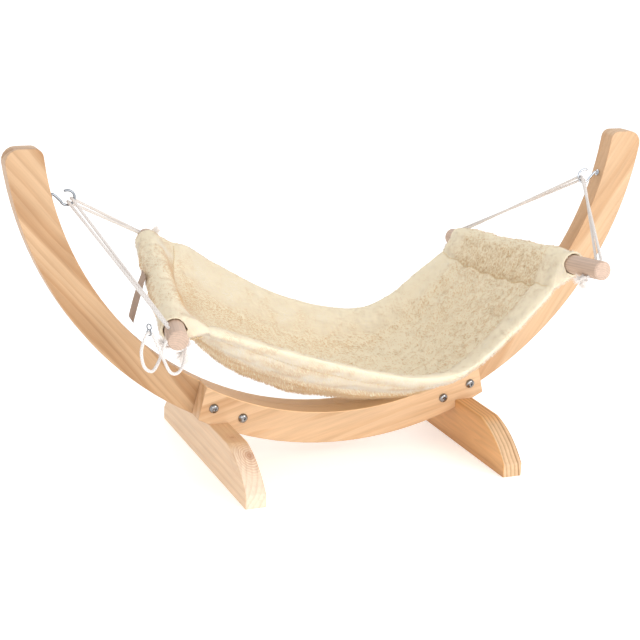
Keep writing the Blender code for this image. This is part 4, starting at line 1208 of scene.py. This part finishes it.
class Sheet:
    """Middle surface of the sling, u from left to right and v from near to far."""

    def __init__(self, fold_height):
        self.lines = sheet_lines()
        self.length = route_length(self.lines[1])
        self.fold_height = fold_height
        self.drape = None

    def place(self, u, v):
        near, middle, far = (at_share(line, u) for line in self.lines)
        place = near * (1 - v) * (1 - 2 * v) + middle * 4 * v * (1 - v) + far * v * (2 * v - 1)
        left, right = (math.exp(-x / FOLD_REACH) * math.sin(math.pi * min(1.0, x / 0.2) / 2)
                       for x in (u, 1 - u))
        wave = left * math.sin(2 * math.pi * LEFT_FOLDS * v + 0.6)
        wave += right * math.sin(2 * math.pi * RIGHT_FOLDS * v + 1.1 + 1.5 * u)
        place = place + Vector((0.0, 0.0, self.fold_height * wave))
        return place if self.drape is None else place + self.draped(u, v)

    def draped(self, u, v):
        """Move of the drape at one place, between the points of its grid."""
        rows, columns, _ = self.drape.shape
        x, y = clamp(u) * (columns - 1), clamp(v) * (rows - 1)
        i, j = min(int(x), columns - 2), min(int(y), rows - 2)
        near, far = (row[i] * (1 - x + i) + row[i + 1] * (x - i) for row in self.drape[j:j + 2])
        return Vector(near * (1 - y + j) + far * (y - j))

    def normal(self, u, v):
        along = self.place(min(1.0, u + 0.008), v) - self.place(max(0.0, u - 0.008), v)
        across = self.place(u, min(1.0, v + 0.015)) - self.place(u, max(0.0, v - 0.015))
        return along.cross(across).normalized()


def smoothed(field, passes):
    """Average a grid of moves with its neighbours, its borders kept in the grid."""
    for _ in range(passes):
        padded = np.pad(field, ((1, 1), (1, 1), (0, 0)), mode="edge")
        field = (padded[:-2, 1:-1] + padded[2:, 1:-1] + padded[1:-1, :-2] + padded[1:-1, 2:]
                 + 2 * field) / 6
    return field


def drape(sheet):
    """Wrinkles from a cloth simulation of the sheet held at its seams, as moves of a grid."""
    columns, rows = DRAPE_GRID
    shares = [(i / (columns - 1), j / (rows - 1)) for j in range(rows) for i in range(columns)]
    points = [tuple(sheet.place(u, v)) for u, v in shares]
    cloth = mesh_piece("drape_grid", points, grid_faces(0, columns, rows, False))
    held = cloth.vertex_groups.new(name="held")
    for number, (u, v) in enumerate(shares):
        weight = 0.30 if min(v, 1 - v) > 0.12 else 0.55
        if min(u, 1 - u) <= SEAM_DISTANCE / sheet.length:
            weight = 1.0
        held.add([number], weight, "REPLACE")
    modifier = cloth.modifiers.new("drape", "CLOTH")
    for name, value in DRAPE_SETTINGS.items():
        setattr(modifier.settings, name, value)
    modifier.collision_settings.use_collision = False
    modifier.point_cache.frame_start, modifier.point_cache.frame_end = 1, DRAPE_FRAMES
    scene = bpy.context.scene
    for number in range(1, DRAPE_FRAMES + 1):
        scene.frame_set(number)
    evaluated = cloth.evaluated_get(bpy.context.evaluated_depsgraph_get())
    end = np.empty(len(points) * 3, dtype=np.float32)
    evaluated.data.vertices.foreach_get("co", end)
    bpy.data.objects.remove(cloth, do_unlink=True)
    scene.frame_set(1)
    move = smoothed((end.astype(float) - np.array(points).ravel()).reshape(rows, columns, 3), 2)
    move -= smoothed(move, 60)
    size = np.linalg.norm(move, axis=2, keepdims=True)
    return move * np.minimum(1.0, DRAPE_LIMIT / np.maximum(size, 1e-9))


def sling_shares(length, step):
    """Distances along the sheet: fine in the wedge up to each seam, even between."""
    first = TUNNEL_RADIUS * (TUNNEL_RADIUS - HALF_CLOTH) / SEAM_DISTANCE
    wedge = [first + (CAVITY_TIP - first) * math.sin(math.pi / 2 * k / 10) for k in range(11)]
    wedge += [CAVITY_TIP + (SEAM_DISTANCE + 0.006 - CAVITY_TIP) * k / 10 for k in range(1, 11)]
    spans = round((length - 2 * wedge[-1]) / step)
    middle = [wedge[-1] + (length - 2 * wedge[-1]) * k / spans for k in range(1, spans)]
    return [*wedge, *middle, *(length - d for d in reversed(wedge))], first


def cavity_half(distance):
    """Half height of the tunnel's hollow, round the dowel and then a short wedge."""
    if distance < CAVITY_RADIUS ** 2 / CAVITY_TIP:
        return math.sqrt(CAVITY_RADIUS ** 2 - distance ** 2)
    slope = CAVITY_RADIUS / math.sqrt(CAVITY_TIP ** 2 - CAVITY_RADIUS ** 2)
    return (CAVITY_TIP - distance) * slope


def border_roll(v):
    """Extra half thickness and lift of the plump border, and the draw of its crease."""
    inset = min(v, 1 - v) * CLOTH_WIDTH
    past = inset - BORDER
    if past >= 0:
        return 0.0, -BORDER_LIFT * ease(past / 0.014), draw_in(past, CREASE_DRAW)
    share = inset / BORDER
    puff = math.sin(math.pi * min(1.0, share * 1.05)) ** 0.8 if share < 0.95 else 0.0
    lift = BORDER_LIFT * math.sin(math.pi * share) - 0.0022 * (1 - share) ** 2
    return BORDER_PUFF * puff, lift, 0.0


def tunnel_arc(sheet, v, side, tunnel, first, slope):
    """Outer, middle and inner points of a tunnel round its dowel, one place across."""
    end = 0.0 if side < 0 else 1.0
    axis = dowel_axis(side)
    centre = dowel_place(side, tunnel[0] + (tunnel[1] - tunnel[0]) * v)
    inward = sheet.place(abs(end - first / sheet.length), v) - centre
    inward = (inward - inward.dot(axis) * axis).normalized()
    up = inward.cross(axis) * -side
    arc = []
    for i in range(1, ARC_STEPS):
        angle = -(math.pi / 2 - slope) - (math.pi + 2 * slope) * i / ARC_STEPS
        out = inward * math.cos(angle) + up * math.sin(angle)
        arc.append([centre + out * radius for radius in (
            TUNNEL_RADIUS, (TUNNEL_RADIUS + CAVITY_RADIUS) / 2, CAVITY_RADIUS)])
    return arc


def sling_row(sheet, v, half_thickness, step):
    """Pairs of point and middle point round the sling and its two cavities, one place across."""
    distances, first = sling_shares(sheet.length, step)
    slope = math.asin((TUNNEL_RADIUS - half_thickness) / SEAM_DISTANCE)
    puff, lift, crease = border_roll(v)
    hem = draw_in(min(v, 1 - v) * CLOTH_WIDTH - HEM, HEM_DRAW)
    top, bottom = [], []
    cavities = ([], []), ([], [])
    for along in distances:
        share = along / sheet.length
        distance = min(along, sheet.length - along)
        normal, centre = sheet.normal(share, v), sheet.place(share, v)
        open_cloth = ease((distance - OPEN_START) / OPEN_REACH)
        half = half_thickness + puff * open_cloth
        if distance < SEAM_DISTANCE:
            wedge = TUNNEL_RADIUS * math.cos(slope) - (distance - first) * math.tan(slope)
            half = max(half, wedge)
        half -= draw_in(distance - SEAM_DISTANCE, SEAM_DRAW) + crease * open_cloth
        centre = centre + normal * lift * open_cloth
        middle = 0.0
        if distance < CAVITY_TIP:
            inner = min(cavity_half(distance), half - 0.0015)
            middle = 0.5 * (half + inner) * (1 - ease((distance - CAVITY_TIP + 0.004) / 0.004))
            upper, lower = cavities[share >= 0.5]
            upper.append((centre + normal * inner, centre + normal * middle))
            lower.append((centre - normal * inner, centre - normal * middle))
        top.append((centre + normal * half, centre + normal * middle))
        bottom.append((centre - normal * (half - hem * open_cloth), centre - normal * middle))
    left, right = (tunnel_arc(sheet, v, side, tunnel, first, slope)
                   for side, tunnel in ((-1, LEFT_TUNNEL), (1, RIGHT_TUNNEL)))
    outer = [*((a, b) for a, b, _ in left), *top, *((a, b) for a, b, _ in reversed(right)),
             *reversed(bottom)]
    (left_upper, left_lower), (right_upper, right_lower) = cavities
    return (outer, [*reversed(left_lower), *((c, b) for _, b, c in left), *left_upper],
            [*right_lower, *((c, b) for _, b, c in right), *reversed(right_upper)])


def rim_rows(width, spacing, half_thickness):
    """Places across the sheet with the share of full thickness at each; rims are round."""
    start = 2.1 * half_thickness / width
    angles = [math.pi / 2 * k / 7 for k in range(7)]
    rim = [((1 - math.cos(a)) * start, math.sin(a)) for a in angles]
    count = round((1 - 2 * start) * width / spacing)
    inside = [(start + (1 - 2 * start) * k / count, 1.0) for k in range(count + 1)]
    return [*rim, *inside, *((1 - v, share) for v, share in reversed(rim))]


class Outline:
    """The sling's outer side and two cavities, as rows of points across the cloth."""

    def __init__(self, sheet, half_thickness, step):
        self.distances, _ = sling_shares(sheet.length, step)
        self.rows = rim_rows(CLOTH_WIDTH, step * 0.8, half_thickness)
        self.arc, self.top = ARC_STEPS - 1, len(self.distances)
        rows = [sling_row(sheet, v, half_thickness, step) for v, _ in self.rows]
        self.outer, self.left, self.right = (
            [[middle.lerp(point, full) for point, middle in row[part]]
             for (_, full), row in zip(self.rows, rows)] for part in range(3))
        self.count = len(self.outer[0])
        self.tacks = [(j, self.below(distance)) for distance, j in TACKS]
        self.marks = {"relief": self.shape(), "inset": [
            min(v, 1 - v) * CLOTH_WIDTH for v, _ in self.rows for _ in range(self.count)]}

    def nearest(self, distance):
        return min(range(self.top), key=lambda m: abs(self.distances[m] - distance))

    def below(self, distance):
        """Number of the point on the lower side at a distance along the cloth."""
        return 2 * (self.arc + self.top) - 1 - self.nearest(distance)

    def shape(self):
        """Move the outer points along their normals, and give the moves in millimetres."""
        dimples = [self.outer[j][k] for j, k in self.tacks]
        reliefs = []
        for j, ((v, full), row) in enumerate(zip(self.rows, self.outer)):
            heights = [self.height(v, k, point, dimples) for k, point in enumerate(row)]
            moved = []
            for k, (point, height) in enumerate(zip(row, heights)):
                tangent = (row[(k + 1) % self.count] - row[k - 1]).normalized()
                normal = Vector((0.0, 1.0, 0.0)).cross(tangent).normalized()
                moved.append(point + normal * height * full)
            self.outer[j] = moved
            reliefs += [height * 1000 for height in heights]
        return reliefs

    def height(self, v, k, point, dimples):
        """Wrinkles, gathers at the left tunnel, streaks below the right one, and dimples."""
        height = sum(high * noise.noise((point + Vector(offset)) / size,
                                        noise_basis="PERLIN_ORIGINAL")
                     for high, size, offset in WRINKLES)
        high, reach = GATHERS
        if k < self.arc + reach or k > self.count - reach:
            ripple = math.sin(v * 78 + 2.2 * noise.noise(point / 0.05)) * 0.5 + 0.5
            height += high * ripple * (0.35 + noise.noise(point / 0.035 + Vector((7, 7, 7))))
        high, reach = STREAKS
        if abs(k - self.arc - self.top) < reach:
            height += high * noise.noise(Vector((v * 13.0, 0.4 * v, point.z / 0.16)))
        return height - sum(draw_in((point - dimple).length, TACK_DRAW) for dimple in dimples)

    def normal(self, j, k):
        along = self.outer[j][(k + 1) % self.count] - self.outer[j][k - 1]
        after, before = min(j + 1, len(self.rows) - 1), max(j - 1, 0)
        return along.cross(self.outer[after][k] - self.outer[before][k]).normalized()

    def seams(self):
        """Lines of stitching as chains of points and normals: seams, hems and tacks."""
        total = self.distances[0] + self.distances[-1]
        across = range(8, len(self.rows) - 8)
        lines = []
        for distance in (SEAM_DISTANCE, total - SEAM_DISTANCE):
            for k in (self.arc + self.nearest(distance), self.below(distance)):
                lines.append([(j, k) for j in across])
        run = [2 * (self.arc + self.top) - 1 - i for i, d in enumerate(self.distances)
               if 0.028 < d < total - 0.028]
        for inset in (HEM, CLOTH_WIDTH - HEM):
            row = min(range(len(self.rows)),
                      key=lambda j: abs(self.rows[j][0] * CLOTH_WIDTH - inset))
            lines.append([(row, k) for k in run])
        chains = [[(self.outer[j][k] + self.normal(j, k) * 0.0009, self.normal(j, k))
                   for j, k in line] for line in lines]
        for j, k in self.tacks:
            normal = self.normal(j, k)
            centre = self.outer[j][k] + normal * 0.0018
            side = normal.orthogonal().normalized()
            for turn in (0.3, 1.1, 1.9, 2.7):
                out = (side * math.cos(turn) + normal.cross(side) * math.sin(turn)) * 0.0020
                chains.append([(centre - out, normal), (centre + out, normal)])
        return chains


class LOUNGER_OT_sling(bpy.types.Operator):
    """Plush cloth with a sewn tunnel round each dowel, its pile and its seams"""
    bl_idname = "lounger.sling"
    bl_label = "Plush sling"

    def execute(self, context):
        settings = context.scene.lounger_sling
        sheet = Sheet(settings.fold_height)
        sheet.drape = drape(sheet)
        outline = Outline(sheet, settings.half_thickness, 0.0036)
        points, faces = [], []
        for side, way in ((outline.outer, 1), (outline.left, -1), (outline.right, -1)):
            grid = grid_faces(len(points), len(side[0]), len(side))
            faces += [face[::way] for face in grid]
            points += [point for row in side for point in row]
        cloth = mesh_piece("plush_cloth", points, faces)
        mark_points(cloth, outline.marks)
        merge(cloth, 0.00003)
        dress(cloth, plush("plush"), "sling", "plush", "plush_sling")
        pieces = [self.pile(settings, outline, True), self.pile(settings, outline, False),
                  self.stitches(outline.seams())]
        return {"FINISHED"}

    def stitches(self, chains):
        """Sewing thread along the seams and hems, as one piece."""
        points, edges, ups = [], [], []
        for chain in chains:
            edges += [(len(points) + k, len(points) + k + 1) for k in range(len(chain) - 1)]
            points += [place for place, _ in chain]
            ups += [component for _, normal in chain for component in normal]
        mesh = bpy.data.meshes.new("seam_lines")
        mesh.from_pydata(points, edges, [])
        mesh.attributes.new("up", "FLOAT_VECTOR", "POINT").data.foreach_set("vector", ups)
        profile = [(0.0, 0.5), (0.10, 0.40), (0.14, 0.0), (0.10, -0.40), (0.0, -0.5)]
        matrix = frame_along(Vector((1, 0, 0)), Vector())
        shape = mesh_piece("stitch_shape", *lathe(profile, matrix, 6))
        thread = Paint("sewing thread", Roughness=0.8, Base_Color=(0.80, 0.62, 0.36)).material
        piece = grow("sling_stitches", link("seam_lines", mesh), stitch_tree, Stitch=shape,
                     Spacing=STITCH_SPACING, Size=STITCH_SIZE, Material=thread)
        bpy.data.objects.remove(shape, do_unlink=True)
        return dress(piece, thread, "sling", "plush")

    def pile(self, settings, outline, upper):
        """Tufts on the upper or the lower side, as one piece."""
        half, one_side = outline.arc // 2, outline.arc + outline.top
        start, end = (half, one_side + half + 1) if upper else (one_side + half,
                                                                outline.count + half + 1)
        columns = [k % outline.count for k in range(start, end)]
        name = "pile_above" if upper else "pile_below"
        points = [row[k] for row in outline.outer for k in columns]
        base = mesh_piece(name + "_base", points,
                          grid_faces(0, len(columns), len(outline.outer), False))
        picked = [j * outline.count + k for j in range(len(outline.outer)) for k in columns]
        mark_points(base, {label: [values[m] for m in picked]
                           for label, values in outline.marks.items()})
        merge(base, 0.00003)
        area = sum(face.area for face in base.data.polygons)
        tufts, width = ((settings.tufts, 0.13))
        blade = tuft_mesh(name + "_blade", width)
        material = plush("plush pile", True)
        piece = grow(name, base, tuft_tree, PILE_FOLLOW, Tuft=blade, Density=tufts / area,
                     Length=settings.pile_length, Lean=PILE_LEAN, Spread=PILE_SPREAD,
                     Seed=3 if upper else 4, Material=material)
        tuft_atlas(piece.data)
        bpy.data.objects.remove(blade, do_unlink=True)
        piece.visible_shadow = False
        return dress(piece, material, "sling", "plush")


class LOUNGER_OT_label(bpy.types.Operator):
    """Plain ribbon label that hangs from the left tunnel"""
    bl_idname = "lounger.label"
    bl_label = "Label"

    def execute(self, context):
        (width, length), half = LABEL_SIZE, 0.0004
        rows, columns = 27, 9
        axis, lean = dowel_axis(-1), math.radians(LABEL_LEAN)
        outward = Vector((-math.cos(lean), 0.0, math.sin(lean)))
        outward = (outward - outward.dot(axis) * axis).normalized()
        upward = outward.cross(axis)
        upward = upward if upward.z > 0 else -upward
        middle = DOWELS[-1][0] + axis * LABEL_PLACE[0] + outward * LABEL_PLACE[1]
        points, places = [], []
        for face in (1, -1):
            for j in range(rows):
                down = length * j / (rows - 1) - 0.004
                turn = -0.09 - 0.07 * ease(down / 0.015)
                wide = axis * math.cos(turn) - outward * math.sin(turn)
                thick = outward * math.cos(turn) + axis * math.sin(turn)
                for k in range(columns):
                    across = width * (k / (columns - 1) - 0.5)
                    bow = 0.0006 * math.sin(down / length * 3.0)
                    bow *= 1 + 0.3 * math.sin(across * 300)
                    edge = k in (0, columns - 1) or j in (0, rows - 1)
                    points.append(middle - upward * down + wide * across
                                  + thick * (bow + half * (0.35 if edge else 1.0) * face))
                    places.append((width * k / (columns - 1), length * j / (rows - 1)))
        size = rows * columns
        faces = grid_faces(0, columns, rows, False)
        faces += [face[::-1] for face in grid_faces(size, columns, rows, False)]
        border = [*range(columns), *range(2 * columns - 1, size, columns),
                  *range(size - 2, size - columns - 1, -1),
                  *range(size - 2 * columns, 0, -columns)]
        faces += [(b, a, size + a, size + b) for a, b in zip(border, border[1:] + border[:1])]
        piece = mesh_piece("ribbon_label", points, faces)
        layer = piece.data.uv_layers.new(name="weave")
        for loop in piece.data.loops:
            layer.data[loop.index].uv = places[loop.vertex_index]
        merge(piece, 1e-7)
        dress(piece, ribbon(), "sling", "label_ribbon", "sewn_label")
        return {"FINISHED"}


# Stage

class LOUNGER_OT_stage(bpy.types.Operator):
    """Camera, pale floor and soft light"""
    bl_idname = "lounger.stage"
    bl_label = "Stage"

    def execute(self, context):
        settings = context.scene.lounger_stage
        scene = context.scene
        scene.view_settings.view_transform = "Standard"
        self.camera(scene, settings.distance)

        floor = mesh_piece("floor", [(-6, -6, 0), (6, -6, 0), (6, 6, 0), (-6, 6, 0)],
                           [(0, 1, 2, 3)])
        pale = Paint("pale floor", Roughness=0.9, Base_Color=(0.90, 0.90, 0.90),
                     Specular_IOR_Level=0.0, Emission_Color=(1.0, 1.0, 1.0),
                     Emission_Strength=settings.table_glow)
        floor.data.materials.append(pale.material)

        scene.world = bpy.data.worlds.new("white room")
        scene.world.use_nodes = True
        n = Nodes(scene.world.node_tree)
        path = n.node("ShaderNodeLightPath")
        seen = n.math("MAXIMUM", path["Is Camera Ray"], path["Is Glossy Ray"])
        seen = n.math("MAXIMUM", seen, path["Is Transmission Ray"])
        background = n.tree.nodes["Background"].inputs
        n.put(background["Color"], (1.0, 1.0, 1.0))
        n.put(background["Strength"], seen.remap(0.0, 1.0, settings.daylight, 1.0, "LINEAR"))

        middle = Vector((0.0, 0.0, 0.15))
        for name, share, size, place in (("key", 1.0, 1.0, (0.95, -1.7, 0.95)),
                                         ("front", 1.1, 1.5, (-0.1, -1.9, 0.10)),
                                         ("back", 0.40, 1.2, (0.1, 1.5, 1.5))):
            data = bpy.data.lights.new(name, "AREA")
            data.energy, data.size = settings.key * share, size
            lamp = link(name, data)
            matrix = (middle - Vector(place)).to_track_quat("-Z", "Y").to_matrix().to_4x4()
            matrix.translation = place
            lamp.matrix_world = matrix
        return {"FINISHED"}

    def camera(self, scene, distance):
        """Camera at the angle of the photograph."""
        azimuth, elevation, roll = (math.radians(a) for a in CAMERA_TURN)
        back = Vector((math.sin(azimuth) * math.cos(elevation),
                       -math.cos(azimuth) * math.cos(elevation), math.sin(elevation)))
        right = (-back).cross(UP).normalized()
        up = right.cross(-back)
        matrix = Matrix((right * math.cos(roll) + up * math.sin(roll),
                         up * math.cos(roll) - right * math.sin(roll), back)).transposed().to_4x4()
        matrix.translation = CAMERA_TARGET + back * distance
        data = bpy.data.cameras.new("photo camera")
        data.lens, data.sensor_width, data.clip_start = CAMERA_LENS, 36.0, 0.05
        scene.camera = link("photo camera", data)
        scene.camera.matrix_world = matrix


class LOUNGER_PT_panel(bpy.types.Panel):
    bl_idname = "LOUNGER_PT_panel"
    bl_label = "Cat lounger"
    bl_space_type = "VIEW_3D"
    bl_region_type = "UI"
    bl_category = "Lounger"

    def draw(self, context):
        for name, group in SETTINGS.items():
            box = self.layout.box()
            box.label(text=name.capitalize())
            for value in group.__annotations__:
                box.prop(getattr(context.scene, "lounger_" + name), value)
        for operator in OPERATORS:
            self.layout.operator(operator.bl_idname)


SETTINGS = {"wood": LoungerWood, "metal": LoungerMetal, "cord": LoungerCord,
            "sling": LoungerSling, "stage": LoungerStage}
OPERATORS = (LOUNGER_OT_stage, LOUNGER_OT_tail, LOUNGER_OT_cords, LOUNGER_OT_knots,
             LOUNGER_OT_wood, LOUNGER_OT_bolts, LOUNGER_OT_hooks, LOUNGER_OT_sling,
             LOUNGER_OT_label)


def register():
    for name, group in SETTINGS.items():
        bpy.utils.register_class(group)
        setattr(bpy.types.Scene, "lounger_" + name, bpy.props.PointerProperty(type=group))
    for cls in (*OPERATORS, LOUNGER_PT_panel):
        bpy.utils.register_class(cls)


def unregister():
    for cls in (LOUNGER_PT_panel, *reversed(OPERATORS)):
        bpy.utils.unregister_class(cls)
    for name, group in SETTINGS.items():
        delattr(bpy.types.Scene, "lounger_" + name)
        bpy.utils.unregister_class(group)


def main():
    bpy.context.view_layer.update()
    register()
    bpy.ops.lounger.stage()
    bpy.ops.lounger.tail()
    bpy.ops.lounger.cords()
    bpy.ops.lounger.knots()
    bpy.ops.lounger.wood()
    bpy.ops.lounger.bolts()
    bpy.ops.lounger.hooks()
    bpy.ops.lounger.sling()
    bpy.ops.lounger.label()


if __name__ == "__main__":
    main()
